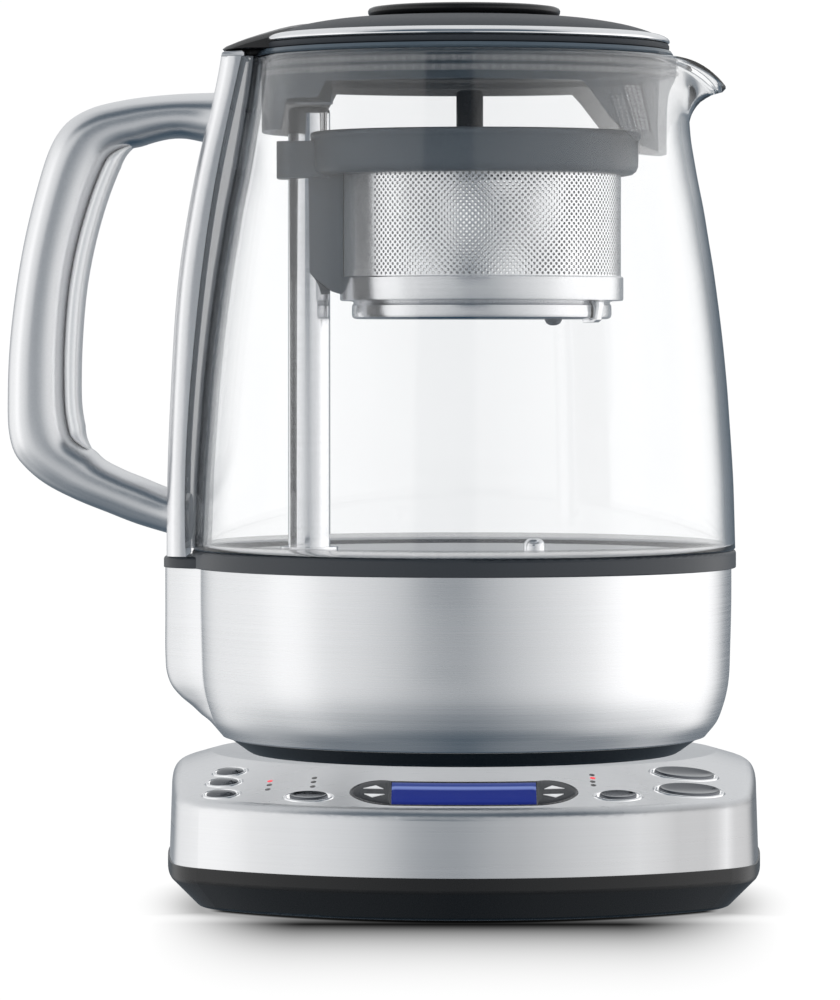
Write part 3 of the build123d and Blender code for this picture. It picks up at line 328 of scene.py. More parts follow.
# the jug's mirror-like bowl shows the studio, not the inside of the power base
SEEN_DIRECTLY = ("base_cover", "cover_liner", "base_housing", "control_board", "key_switches", "power_board", "power_relay",
                 "lcd_module", "display_window", "display_bezel", "lit_indicators", "dark_indicators", "temperature_rocker",
                 "time_rocker", "connector_pod", "jug_socket", "rubber_feet", "ring_band", "heating_plate", "heating_element",
                 "boot_screws", "key_rings", "temperature_probe", "lift_motor", "motor_bracket", "glass_seal", "lead_screw",
                 "screw_coupler", "magnet_slider", "pod_contacts", "jug_boot")
for name in SEEN_DIRECTLY:
    NODES[name].visible_glossy = False


# ---------------------------------------------------------------------------
# Mesh tools
# ---------------------------------------------------------------------------
def fillet_poly(points, radii, n=6, closed=True):
    """Rounds the corners of a polyline; radii is a number or a list."""
    pts = [np.array(p, float) for p in points]
    m = len(pts)
    if not hasattr(radii, "__len__"):
        radii = [radii] * m
    out = []
    for i, p in enumerate(pts):
        r = radii[i]
        if r <= 0 or (not closed and i in (0, m - 1)):
            out.append(tuple(p))
            continue
        a, b = pts[i - 1], pts[(i + 1) % m]
        u, w = a - p, b - p
        lu, lw = np.linalg.norm(u), np.linalg.norm(w)
        if lu < 1e-9 or lw < 1e-9:
            out.append(tuple(p))
            continue
        u, w = u / lu, w / lw
        ang = math.acos(max(-1, min(1, float(u @ w))))
        if ang > math.pi - 0.02:
            out.append(tuple(p))
            continue
        t = min(r / math.tan(ang / 2), 0.48 * lu, 0.48 * lw)
        r = t * math.tan(ang / 2)
        bis = (u + w) / np.linalg.norm(u + w)
        c = p + bis * r / math.sin(ang / 2)
        s, e = p + u * t - c, p + w * t - c
        total = math.acos(max(-1, min(1, float(s @ e) / (np.linalg.norm(s) * np.linalg.norm(e) + 1e-12))))
        sign = 1.0 if s[0] * e[1] - s[1] * e[0] > 0 else -1.0
        for k in range(n + 1):
            th = sign * total * k / n
            out.append((c[0] + s[0] * math.cos(th) - s[1] * math.sin(th), c[1] + s[0] * math.sin(th) + s[1] * math.cos(th)))
    return out


def spline(points, n):
    """Catmull-Rom through the points (centripetal), n samples."""
    P = [np.array(p, float) for p in points]
    P = [2 * P[0] - P[1]] + P + [2 * P[-1] - P[-2]]
    t = [0.0]
    for a, b in zip(P, P[1:]):
        t.append(t[-1] + max(1e-9, np.linalg.norm(b - a)) ** 0.5)
    out = []
    for u in np.linspace(t[1], t[-2], n):
        i = min(max(1, np.searchsorted(t, u, side="right") - 1), len(P) - 3)
        p0, p1, p2, p3 = P[i - 1:i + 3]
        t0, t1, t2, t3 = t[i - 1:i + 3]
        a1 = (t1 - u) / (t1 - t0) * p0 + (u - t0) / (t1 - t0) * p1
        a2 = (t2 - u) / (t2 - t1) * p1 + (u - t1) / (t2 - t1) * p2
        a3 = (t3 - u) / (t3 - t2) * p2 + (u - t2) / (t3 - t2) * p3
        b1 = (t2 - u) / (t2 - t0) * a1 + (u - t0) / (t2 - t0) * a2
        b2 = (t3 - u) / (t3 - t1) * a2 + (u - t1) / (t3 - t1) * a3
        out.append((t2 - u) / (t2 - t1) * b1 + (u - t1) / (t2 - t1) * b2)
    return out


def make(name, verts, faces, mat, body, nodes=(), sharp=32.0, recalc=True, uvs=None):
    """Mesh object from drawing coordinates."""
    me = bpy.data.meshes.new(name)
    v = np.asarray(verts, float)
    v = (v + np.array([X0, Y0, 0.0])) / 1000.0
    me.from_pydata(v.tolist(), [], [list(f) for f in faces])
    me.validate()
    if recalc:
        bm = bmesh.new()
        bm.from_mesh(me)
        bmesh.ops.remove_doubles(bm, verts=bm.verts, dist=2e-7)
        bmesh.ops.recalc_face_normals(bm, faces=bm.faces)
        bm.to_mesh(me)
        bm.free()
    me.update()
    finish_mesh(me, sharp)
    me.materials.append(MATS[mat])
    ob = bpy.data.objects.new(name, me)
    bpy.context.scene.collection.objects.link(ob)
    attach(ob, body)
    if nodes:
        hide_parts(*nodes)
    return ob


def finish_mesh(me, sharp=32.0):
    me.polygons.foreach_set("use_smooth", [True] * len(me.polygons))
    me.set_sharp_from_angle(angle=math.radians(sharp))
    me.update()


def lathe_data(profile, seg=192, closed=True, x=0.0, y=0.0, a0=0.0, a1=360.0):
    full = abs(a1 - a0) >= 359.99
    m = seg if full else seg + 1
    ang = [math.radians(a0 + (a1 - a0) * i / seg) for i in range(m)]
    verts, rows = [], []
    for r, z in profile:
        if r < 1e-6:
            verts.append((x, y, z))
            rows.append([len(verts) - 1] * m)
        else:
            k = len(verts)
            verts += [(x + r * math.cos(t), y + r * math.sin(t), z) for t in ang]
            rows.append(list(range(k, k + m)))
    faces = []
    n = len(profile)
    for i in range(n if closed else n - 1):
        a, b = rows[i], rows[(i + 1) % n]
        if profile[i][0] < 1e-6 and profile[(i + 1) % n][0] < 1e-6:
            continue
        for j in range(m if full else m - 1):
            k = (j + 1) % m
            f = [a[j], a[k], b[k], b[j]]
            g = []
            for q in f:
                if q not in g:
                    g.append(q)
            if len(g) >= 3:
                faces.append(g)
    return verts, faces


def lathe(name, profile, mat, body, nodes=(), seg=192, closed=True, x=0.0, y=0.0, sharp=32.0):
    verts, faces = lathe_data(profile, seg, closed, x, y)
    return make(name, verts, faces, mat, body, nodes, sharp)


def grid_faces(nu, nv, close_u=False, close_v=False, base=0):
    faces = []
    for i in range(nu if close_u else nu - 1):
        for j in range(nv if close_v else nv - 1):
            a, b = i, (i + 1) % nu
            c, d = j, (j + 1) % nv
            faces.append((base + a * nv + c, base + b * nv + c, base + b * nv + d, base + a * nv + d))
    return faces


# ---------------------------------------------------------------------------
# Camera, floor, light
# ---------------------------------------------------------------------------
scene = bpy.context.scene
cam = bpy.data.cameras.new("camera")
cam.lens, cam.sensor_width, cam.sensor_fit = 200.5, 36.0, "AUTO"
cam.clip_start, cam.clip_end = 0.05, 20
cam_ob = bpy.data.objects.new("camera", cam)
scene.collection.objects.link(cam_ob)
cam_ob.location = (0.02289, -1.57825, 0.1568)
cam_ob.rotation_euler = (math.radians(88.375), 0, math.radians(0.4526))
scene.camera = cam_ob

scene.view_settings.view_transform = "Standard"
scene.view_settings.look = "None"

# pale floor: a wide disc
fv, ff = lathe_data([(0, 0), (300, 0), (1500, 0)], 96, closed=False)
me = bpy.data.meshes.new("floor")
me.from_pydata([(a / 1000, b / 1000, c / 1000) for a, b, c in fv], [], ff)
floor = bpy.data.objects.new("floor", me)
scene.collection.objects.link(floor)
fm = bpy.data.materials.new("floor")
fm.use_nodes = True
fn = fm.node_tree
fn.nodes.clear()
f_out = fn.nodes.new("ShaderNodeOutputMaterial")
f_clr = fn.nodes.new("ShaderNodeBsdfTransparent")
f_mix = fn.nodes.new("ShaderNodeMixShader")
f_lp = fn.nodes.new("ShaderNodeLightPath")
f_emi = fn.nodes.new("ShaderNodeEmission")
f_emi.inputs["Color"].default_value = (1, 1, 1, 1)
f_emi.inputs["Strength"].default_value = 1.03
f_co = fn.nodes.new("ShaderNodeTexCoord")


def floor_shade():
    """Painted soft shadow in the floor's glow: deep in front of the base, thin beside it."""
    N, L = fn.nodes.new, fn.links.new

    def M(op, a, b=0.0):
        n = N("ShaderNodeMath")
        n.operation = op
        for i, v in enumerate((a, b)):
            if isinstance(v, (int, float)):
                n.inputs[i].default_value = v
            else:
                L(v, n.inputs[i])
        return n.outputs[0]

    def rise(x, lo, hi):
        n = N("ShaderNodeMapRange")
        n.interpolation_type = "SMOOTHSTEP"
        n.inputs["From Min"].default_value = lo
        n.inputs["From Max"].default_value = hi
        L(x, n.inputs["Value"])
        return n.outputs[0]

    sp = N("ShaderNodeSeparateXYZ")
    L(f_co.outputs["Object"], sp.inputs[0])
    x = M("SUBTRACT", M("MULTIPLY", sp.outputs["X"], 1000.0), X0)
    y = M("SUBTRACT", M("MULTIPLY", sp.outputs["Y"], 1000.0), Y0)
    ax = M("ABSOLUTE", x)

    def reach(u, v, r):
        return M("SUBTRACT", M("SQRT", M("ADD", M("MULTIPLY", u, u), M("MULTIPLY", v, v))), r)

    # distance outside the tray: round rear, long side arcs, bowed front
    yr = M("SUBTRACT", y, 3.7)
    d = M("MAXIMUM", reach(ax, M("MAXIMUM", yr, 0.0), 83.8), reach(M("ADD", ax, 396.2), yr, 480.0))
    d = M("MAXIMUM", d, reach(x, M("SUBTRACT", y, 10.0), 105.0))
    df = M("MAXIMUM", M("SUBTRACT", M("MULTIPLY", y, -1.0), 86.0), 0.0)
    front = M("EXPONENT", M("MULTIPLY", M("POWER", M("DIVIDE", df, 60.0), 1.18), -1.0))
    front = M("MULTIPLY", front, M("SUBTRACT", 1.0, rise(ax, 42.0, 90.0)))
    front = M("MULTIPLY", front, M("SUBTRACT", 1.0, rise(y, -86.0, -60.0)))
    side = M("EXPONENT", M("MULTIPLY", M("POWER", M("DIVIDE", M("MAXIMUM", M("ADD", d, 9.0), 0.0), 9.5), 1.6), -1.0))
    side = M("MULTIPLY", M("MULTIPLY", side, 0.62), M("SUBTRACT", 1.0, M("MULTIPLY", rise(y, -45.0, 40.0), 0.55)))
    under = M("SUBTRACT", 1.0, rise(d, -14.5, -10.0))
    light = M("MULTIPLY", M("SUBTRACT", 1.0, M("MULTIPLY", front, 0.985)), M("SUBTRACT", 1.0, side))
    light = M("MULTIPLY", light, M("SUBTRACT", 1.0, M("MULTIPLY", under, 0.97)))
    return M("MULTIPLY", light, 1.04)


fn.links.new(floor_shade(), f_emi.inputs["Strength"])
fn.links.new(f_lp.outputs["Is Camera Ray"], f_mix.inputs[0])
fn.links.new(f_clr.outputs[0], f_mix.inputs[1])
fn.links.new(f_emi.outputs[0], f_mix.inputs[2])
fn.links.new(f_mix.outputs[0], f_out.inputs[0])
me.materials.append(fm)


def studio():
    """Soft light by direction: side softboxes, dark flags behind them, white backdrop."""
    world = bpy.data.worlds.new("studio")
    scene.world = world
    world.use_nodes = True
    nt = world.node_tree
    nt.nodes.clear()
    N, L = nt.nodes.new, nt.links.new

    def put(sock, v):
        if isinstance(v, (int, float)):
            sock.default_value = v
        else:
            L(v, sock)

    def M(op, a, b=0.0):
        n = N("ShaderNodeMath")
        n.operation = op
        put(n.inputs[0], a)
        put(n.inputs[1], b)
        return n.outputs[0]

    def rise(x, a, b):
        n = N("ShaderNodeMapRange")
        n.interpolation_type = "SMOOTHSTEP"
        n.inputs["From Min"].default_value = a
        n.inputs["From Max"].default_value = b
        put(n.inputs["Value"], x)
        return n.outputs[0]

    def lerp(a, b, f):
        return M("ADD", M("MULTIPLY", a, M("SUBTRACT", 1.0, f)), M("MULTIPLY", b, f))

    tc = N("ShaderNodeTexCoord")
    sep = N("ShaderNodeSeparateXYZ")
    L(tc.outputs["Generated"], sep.inputs[0])
    deg = 180.0 / math.pi
    az = M("MULTIPLY", M("ARCTAN2", sep.outputs["X"], M("MULTIPLY", sep.outputs["Y"], -1.0)), deg)
    el = M("MULTIPLY", M("ARCSINE", sep.outputs["Z"]), deg)
    aaz = M("ABSOLUTE", az)
    ramp = N("ShaderNodeValToRGB")
    ramp.color_ramp.interpolation = "LINEAR"
    L(M("DIVIDE", M("ADD", az, 180.0), 360.0), ramp.inputs[0])
    els = ramp.color_ramp.elements
    while len(els) > 2:
        els.remove(els[-1])
    for i, (a, val) in enumerate(AZ_STOPS):
        pos = (a + 180) / 360.0
        e = els[i] if i < 2 else els.new(pos)
        e.position = pos
        e.color = (val / 2, val / 2, val / 2, 1)
    base = M("MULTIPLY", ramp.outputs[0], 2.0)
    up = rise(el, 16, 38)
    body = lerp(base, 0.82, up)
    body = M("MULTIPLY", body, M("SUBTRACT", 1.0, M("MULTIPLY", 0.45, rise(el, 42, 80))))
    down = M("MULTIPLY", el, -1.0)
    body = M("MULTIPLY", body, M("SUBTRACT", 1.0, M("MULTIPLY", 0.50, rise(down, 14, 34))))
    body = M("MULTIPLY", body, M("SUBTRACT", 1.0, M("MULTIPLY", 0.60, rise(down, 34, 58))))
    # behind, the white sweep rises just over the horizon
    sweep = M("MULTIPLY", rise(aaz, 120, 150), rise(el, 1.5, 14))
    body = lerp(body, 0.80, sweep)
    off = M("ABSOLUTE", M("ADD", az, 8.0))
    card = M("MULTIPLY", M("SUBTRACT", 1.0, rise(off, 11, 15)), M("MULTIPLY", rise(el, -0.2, 0.9), M("SUBTRACT", 1.0, rise(el, 16, 30))))
    body = M("MULTIPLY", body, M("SUBTRACT", 1.0, M("MULTIPLY", 0.80, card)))
    # a dark flag high in front gives the creases between top and front their dark line
    flag = M("MULTIPLY", M("SUBTRACT", 1.0, rise(aaz, 50, 85)), M("MULTIPLY", rise(el, 24, 38), M("SUBTRACT", 1.0, rise(el, 62, 80))))
    body = M("MULTIPLY", body, M("SUBTRACT", 1.0, M("MULTIPLY", 0.85, flag)))
    # through clear material the white backdrop shows
    lp = N("ShaderNodeLightPath")
    # clear glass takes only a soft share of the side boxes
    bare = M("MULTIPLY", lp.outputs["Is Singular Ray"], lp.outputs["Is Reflection Ray"])
    body = M("MULTIPLY", body, M("SUBTRACT", 1.0, M("MULTIPLY", 0.20, bare)))
    back = M("MULTIPLY", M("SUBTRACT", 1.0, rise(M("SUBTRACT", 180.0, aaz), 9, 17)),
             M("SUBTRACT", 1.0, rise(M("ABSOLUTE", M("ADD", el, 1.5)), 12, 20)))
    thru = lerp(M("ADD", M("MULTIPLY", body, 0.42), 0.20), 0.985, back)
    matt = M("MINIMUM", lp.outputs["Diffuse Depth"], 1.0)
    mirror = M("MINIMUM", lp.outputs["Glossy Depth"], 1.0)
    plain = M("MULTIPLY", M("SUBTRACT", 1.0, matt), M("SUBTRACT", 1.0, mirror))
    clear = lerp(body, thru, M("MULTIPLY", plain, lp.outputs["Is Transmission Ray"]))
    soft = M("ADD", 0.93, M("MULTIPLY", 0.12, rise(el, 10, 60)))
    clear = lerp(clear, soft, matt)
    comb = N("ShaderNodeCombineXYZ")
    put(comb.inputs[0], M("MAXIMUM", M("SUBTRACT", clear, M("MULTIPLY", 0.030, M("SUBTRACT", 1.2, clear))), 0.0))
    put(comb.inputs[1], clear)
    put(comb.inputs[2], M("ADD", clear, M("MULTIPLY", 0.032, M("MAXIMUM", M("SUBTRACT", 1.2, clear), 0.0))))
    bg = N("ShaderNodeBackground")
    L(comb.outputs[0], bg.inputs["Color"])
    bg.inputs["Strength"].default_value = 1.0
    bgc = N("ShaderNodeBackground")
    bgc.inputs["Color"].default_value = (1, 1, 1, 1)
    bgc.inputs["Strength"].default_value = 1.02
    mix = N("ShaderNodeMixShader")
    out = N("ShaderNodeOutputWorld")
    L(lp.outputs["Is Camera Ray"], mix.inputs[0])
    L(bg.outputs[0], mix.inputs[1])
    L(bgc.outputs[0], mix.inputs[2])
    L(mix.outputs[0], out.inputs[0])
    world.cycles.sampling_method = "MANUAL"
    world.cycles.sample_map_resolution = 512


# azimuth from the camera's side in degrees, positive to the right: brightness
AZ_STOPS = [(-180, 0.22), (-168, 0.18), (-158, 0.24), (-148, 0.66), (-138, 1.02), (-110, 1.10), (-96, 1.14), (-88, 1.32), (-74, 1.32),
            (-62, 1.02), (-45, 0.94), (-28, 0.78), (-12, 0.63), (0, 0.55), (12, 0.62), (24, 0.78), (40, 0.95), (56, 1.12), (68, 1.38),
            (80, 1.50), (104, 1.48), (132, 1.40), (141, 0.90), (150, 0.28), (168, 0.18), (180, 0.22)]
studio()


def area(name, loc, target, size, power, glossy=False, size_y=None, spread=None):
    d = bpy.data.lights.new(name, "AREA")
    d.energy = power
    d.shape = "RECTANGLE"
    d.size = size
    d.size_y = size_y or size
    o = bpy.data.objects.new(name, d)
    scene.collection.objects.link(o)
    o.location = loc
    o.rotation_mode = "QUATERNION"
    o.rotation_quaternion = (Vector(target) - Vector(loc)).to_track_quat("-Z", "Y")
    o.visible_glossy = glossy
    o.visible_camera = False
    return o


area("top_softbox", (0, -0.15, 1.5), (0, 0, 0), 1.6, 5, glossy=False)

# ---------------------------------------------------------------------------
# Glass jug
# ---------------------------------------------------------------------------
GLASS = [(77.0, 98.2), (76.7, 109.0), (76.4, 117.6), (75.9, 126.0), (75.3, 134.6), (74.7, 143.0), (73.9, 151.7),
         (73.0, 160.0), (71.9, 168.7), (70.7, 177.3), (69.3, 185.8), (67.9, 194.3), (66.2, 202.8), (64.7, 211.3),
         (62.9, 222.0), (61.4, 232.0), (60.8, 237.1)]


def glass_jug():
    wall = 2.5
    out = [tuple(p) for p in spline(GLASS, 90)]
    ins = [(r - wall, z) for r, z in out]
    # rounded bottom edge and rounded, slightly thicker rim
    rim = [(60.9, 235.8), (60.85, 236.4), (60.4, 237.0), (59.6, 237.2), (58.85, 237.0), (58.35, 236.5), (58.3, 235.8)]
    out = [p for p in out if p[1] < 235.4]
    ins = [p for p in ins if p[1] < 235.4]
    prof = [(76.6, 98.15), (77.0, 98.5)] + out[1:] + rim + ins[::-1][:-1] + [(74.5, 98.5), (74.9, 98.15)]
    seg = 288
    ang = [2 * math.pi * i / seg for i in range(seg)]
    verts = []
    # spout: push out and down round azimuth 0
    zs = [100, 213.0, 216.0, 221.0, 225.0, 229.0, 232.0, 235.0, 237.2]
    dr = [0, 0.0, 0.25, 0.8, 2.3, 4.8, 8.4, 12.4, 13.9]
    dz = [0, 0.0, -0.6, -1.8, -3.2, -4.5, -5.4, -7.4, -8.0]
    for r, z in prof:
        a = float(np.interp(z, zs, dr))
        b = float(np.interp(z, zs, dz))
        for t in ang:
            d = math.degrees(math.atan2(math.sin(t), math.cos(t)))
            w = math.exp(-(abs(d) / 12.5) ** 2.2)
            wide = math.exp(-(abs(d) / 24.0) ** 2)
            rr = r + a * (0.80 * w + 0.20 * wide)
            zz = z + b * (0.95 * w ** 1.9 + 0.05 * wide)
            verts.append((rr * math.cos(t), rr * math.sin(t), zz))
    faces = grid_faces(len(prof), seg, close_u=True, close_v=True)
    return make("glass_jug_blown", verts, faces, "glass", "jug", ("glass_jug",), sharp=60)


glass_jug()


BOWL = [(66.6, 44.8), (68.6, 45.2), (71.9, 49.4), (73.6, 53.7), (74.7, 57.9), (75.3, 62.2), (75.6, 70.0), (75.9, 83.5), (75.9, 92.9)]
LOBE_SIDE = [(84.9, 68.0), (84.5, 63.0), (83.2, 59.4), (80.6, 56.2), (77.2, 53.4), (74.2, 50.6), (68.4, 45.2)]


def steel_bowl():
    """Brushed bowl; at the handle it swells into a lobe whose flanks meet the round wall in a crease."""
    side = np.array(spline(BOWL[1:], 70))
    lobe = np.array(spline([(84.9, 92.9), (84.9, 80.0)] + LOBE_SIDE, 90))[::-1]
    z_rows = np.concatenate([side[:, 1]])
    crease = math.asin(17.0 / 75.9)
    inner_t = np.concatenate([np.linspace(0, 0.94, 26), [0.985, 1.0, 1.015, 1.05]])
    outer_t = np.linspace(0, 1, 101)[1:-1]
    ang = []                                   # angles from the lobe's middle, one way round
    for t in inner_t:
        ang.append(crease * t)
    rest = math.pi - crease * 1.05
    for t in outer_t:
        ang.append(crease * 1.05 + rest * t)
    ang.append(math.pi)
    ang = np.array(ang)
    full = np.concatenate([-ang[::-1][:-1], ang])[:-1]      # -pi .. pi without the repeat

    def row(r, z):
        length = float(np.interp(z, lobe[:, 1], lobe[:, 0]))
        k = min(1.0, max(0.0, (length - r) / 2.2))
        k = k * k * (3 - 2 * k)
        xc, yc = r * math.cos(crease), r * math.sin(crease)
        far = max(length, r)
        p0, p1, p3 = np.array([far, 0.0]), np.array([far, 0.40 * yc]), np.array([xc, yc])
        p2 = p3 + 0.42 * (p1 - p3)
        t = np.linspace(0, 1, 120)[:, None]
        b = (1 - t) ** 3 * p0 + 3 * (1 - t) ** 2 * t * p1 + 3 * (1 - t) * t * t * p2 + t ** 3 * p3
        ba, br = np.arctan2(b[:, 1], b[:, 0]), np.hypot(b[:, 0], b[:, 1])
        out = []
        for a in full:
            q = abs(a)
            rr = r
            if q < crease:
                rr = r + k * (float(np.interp(q, ba, br)) - r)
            if abs(q - crease) < 1e-9:
                rr -= 0.16 * k
            out.append((-rr * math.cos(a), -rr * math.sin(a), z))
        return out

    outer = [row(r, z) for r, z in side]
    n = len(full)

    def plain(r, z):
        return [(-r * math.cos(a), -r * math.sin(a), z) for a in full]

    def inset(ring, z, t=0.8):
        out = []
        for x, y, _ in ring:
            u = math.hypot(x, y)
            out.append((x * (u - t) / u, y * (u - t) / u, z))
        return out

    rings = [plain(66.6, 44.9), plain(67.6, 44.86)] + outer
    inside = [inset(g, g[0][2]) for g in outer if g[0][2] > 46.4]
    rings += inside[::-1] + [plain(67.2, 45.7), plain(66.6, 45.7)]
    verts = [q for g in rings for q in g]
    faces = grid_faces(len(rings), n, close_u=True, close_v=True)
    ob = make("steel_bowl_drawn", verts, faces, "steel_round", "jug", ("steel_bowl",), sharp=17)
    ob.visible_glossy = False


steel_bowl()


def arc_param(points):
    """Arc length fraction of each point of a polyline."""
    P = np.array(points, float)
    d = np.concatenate([[0], np.cumsum(np.linalg.norm(np.diff(P, axis=0), axis=1))])
    return P, d / d[-1]


def resample(points, fractions):
    P, f = arc_param(points)
    return np.stack([np.interp(fractions, f, P[:, k]) for k in range(P.shape[1])], 1)


def smooth(x, a, b):
    t = np.clip((np.asarray(x, float) - a) / (b - a), 0, 1)
    return t * t * (3 - 2 * t)


def tube_sweep(name, rings, mat, body, nodes=(), cap=True, sharp=40.0):
    """Skin over a row of closed rings of equal point count."""
    m = len(rings[0])
    verts = [tuple(p) for r in rings for p in r]
    faces = grid_faces(len(rings), m, close_v=True)
    if cap:
        for k, base in ((0, 0), (1, (len(rings) - 1) * m)):
            c = np.mean(np.array(rings[0 if k == 0 else -1]), axis=0)
            verts.append(tuple(c))
            faces += [(base + j, base + (j + 1) % m, len(verts) - 1) for j in range(m)]
    return make(name, verts, faces, mat, body, nodes, sharp)


def superellipse(n, power):
    t = np.linspace(0, 2 * math.pi, n, endpoint=False)
    c, s = np.cos(t), np.sin(t)
    return np.sign(c) * np.abs(c) ** (2 / power), np.sign(s) * np.abs(s) ** (2 / power)


# ---------------------------------------------------------------------------
# Handle: a cast grip with a polished strip let into its inner side
# ---------------------------------------------------------------------------
H_OUT = [(-65.6, 227.3), (-70.8, 227.3), (-79.5, 227.1), (-88.5, 226.4), (-97.0, 225.2), (-105.7, 223.0), (-111.8, 219.6),
         (-115.3, 215.6), (-117.9, 210.4), (-121.4, 199.1), (-124.9, 184.4), (-127.5, 168.7), (-129.0, 154.7), (-129.5, 142.6),
         (-129.2, 131.2), (-127.5, 125.1), (-124.0, 120.7), (-118.8, 116.5), (-110.1, 112.0), (-101.4, 108.5), (-92.6, 105.1),
         (-83.0, 102.3), (-77.6, 100.9)]
H_IN = [(-68.6, 212.6), (-74.2, 213.6), (-79.5, 214.5), (-83.9, 214.3), (-90.1, 212.7), (-94.0, 210.9), (-97.0, 207.4),
        (-99.2, 202.6), (-101.8, 195.4), (-104.8, 184.6), (-107.0, 173.2), (-108.2, 161.6), (-108.8, 148.6), (-108.5, 137.2),
        (-106.6, 129.5), (-103.1, 124.2), (-97.0, 120.7), (-90.9, 118.2), (-83.6, 115.2), (-77.6, 113.4)]


def handle():
    n = 150
    f = np.linspace(0, 1, n)
    o = resample([tuple(p) for p in spline(H_OUT, 400)], f)
    i0 = resample([tuple(p) for p in spline(H_IN, 400)], f)
    # depth of the strip along the grip
    d = 3.9 * smooth(f, 0.155, 0.24) * (1 - smooth(f, 0.735, 0.80))
    u = o - i0
    lu = np.linalg.norm(u, axis=1)[:, None]
    u = u / lu
    i1 = i0 + u * d[:, None]
    c, h = (o + i1) / 2, np.linalg.norm(o - i1, axis=1) / 2
    ex, ey = superellipse(56, 2.55)
    end = np.minimum(f, 1 - f)
    wide = 12.0 + 2.6 * np.exp(-(end * 195 / 6.5) ** 1.3)
    rings = []
    for k in range(n):
        grow = 1.0 + 0.05 * math.exp(-(end[k] * 190 / 4.0))
        rings.append([(c[k][0] + u[k][0] * h[k] * grow * a, wide[k] * b, c[k][1] + u[k][1] * h[k] * grow * a)
                      for a, b in zip(ex, ey)])
    tube_sweep("handle_grip_cast", rings, "handle_metal", "jug", ("handle_grip",), sharp=60)
    # strip
    keep = np.where(d > 0.25)[0]
    ex, ey = superellipse(40, 3.2)
    rings = []
    for k in keep:
        t = min(1.0, (k - keep[0]) / 7.0, (keep[-1] - k) / 7.0)
        half = 0.5 * (d[k] + 0.9) * (0.35 + 0.65 * math.sqrt(max(0.0, t)))
        w = 9.4 * (0.55 + 0.45 * math.sqrt(max(0.0, t)))
        cc = i0[k] + u[k] * (half - 0.02 if t >= 1 else d[k] + 0.9 - half)
        rings.append([(cc[0] + u[k][0] * half * a, w * b, cc[1] + u[k][1] * half * a) for a, b in zip(ex, ey)])
    tube_sweep("handle_inlay_strip", rings, "inlay_metal", "jug", ("handle_inlay",), sharp=60)


handle()

# ---------------------------------------------------------------------------
# Basket: perforated wall, band, pan with its latch
# ---------------------------------------------------------------------------
BX = 5.0


def thick_shell(verts, faces, inner):
    """Adds the inner skin (verts moved by inner) and the walls along every open edge."""
    n = len(verts)
    out = list(verts) + [inner(v) for v in verts]
    fs = [tuple(f) for f in faces] + [tuple(n + k for k in reversed(f)) for f in faces]
    count = {}
    for f in faces:
        for a, b in zip(f, tuple(f[1:]) + (f[0],)):
            key = (min(a, b), max(a, b))
            count[key] = (count[key][0] + 1, (a, b)) if key in count else (1, (a, b))
    for c, (a, b) in count.values():
        if c == 1:
            fs.append((b, a, n + a, n + b))
    return out, fs


def perforated_wall():
    r, t = 39.5, 0.55
    around = 144
    p = 2 * math.pi * r / around          # pitch along the row
    q = p / 2
    z_low, z_top = 174.5, 211.5
    rows = int((205.6 - 175.7) / q)
    z_start = 175.9
    hole = 0.435
    verts, index = [], {}

    def vert(a, z):
        key = (round(a * 1000) % (around * 1000), round(z * 1000))
        if key not in index:
            th = 2 * math.pi * a / around
            index[key] = len(verts)
            verts.append((BX + r * math.cos(th), r * math.sin(th), z))
        return index[key]

    faces = []
    for j in range(rows + 1):
        z = z_start + j * q
        for i in range(around):
            a = i + 0.5 * (j % 2)
            ang = (a / around * 360.0) % 360.0
            corner = [vert(a + 0.5, z), vert(a, z + q), vert(a - 0.5, z), vert(a, z - q)]
            away = min(abs(ang - 180), 360 - abs(ang - 180))
            if away < 41:
                faces.append(tuple(corner))
                continue
            ringv = []
            for k in range(8):
                w = math.radians(45 * k)
                ringv.append(vert(a + hole * math.cos(w) / p, z + hole * math.sin(w)))
            for k in range(4):
                faces.append((corner[k], corner[(k + 1) % 4], ringv[(2 * k + 2) % 8], ringv[2 * k + 1], ringv[2 * k]))
    z_last = z_start + rows * q
    # plain rims above and below the holes
    for i in range(around):
        a0 = i
        b0 = vert(a0, z_start - q)
        b1 = vert(a0 + 1, z_start - q)
        faces.append((b0, b1, vert(a0 + 0.5, z_start)))
        lo0, lo1 = vert(a0, z_low), vert(a0 + 1, z_low)
        faces.append((lo0, lo1, b1, b0))
        s = 0.5 * (rows % 2)
        t0, t1 = vert(a0 + s, z_last + q), vert(a0 + 1 + s, z_last + q)
        faces.append((t0, vert(a0 + 0.5 + s, z_last), t1))
        h0, h1 = vert(a0 + s, z_top), vert(a0 + 1 + s, z_top)
        faces.append((t0, t1, h1, h0))
    k = (r - t) / r
    verts, faces = thick_shell(verts, faces, lambda v: (BX + (v[0] - BX) * k, v[1] * k, v[2]))
    return make("basket_wall_perforated", verts, faces, "steel_mesh", "basket", ("basket_mesh",), sharp=50)


perforated_wall()
BAND_PROFILE = [(38.6, 175.2), (39.7, 175.2), (40.0, 175.1), (40.2, 174.8), (40.2, 168.9), (40.05, 168.5), (39.6, 168.35),
                (37.6, 168.3), (36.6, 168.1), (36.3, 167.75), (36.5, 167.35), (36.8, 167.0), (36.85, 164.4), (36.6, 163.7),
                (36.0, 163.3), (35.2, 163.2), (34.0, 163.3), (32.4, 163.9), (30.0, 164.3), (0, 164.4), (0, 165.0), (30.0, 165.0),
                (33.6, 165.3), (35.0, 166.0), (35.2, 169.6), (35.6, 170.2), (38.6, 170.4)]
lathe("basket_pan_band", BAND_PROFILE, "steel_basket", "basket", ("basket_base",), x=BX, seg=192, sharp=28)


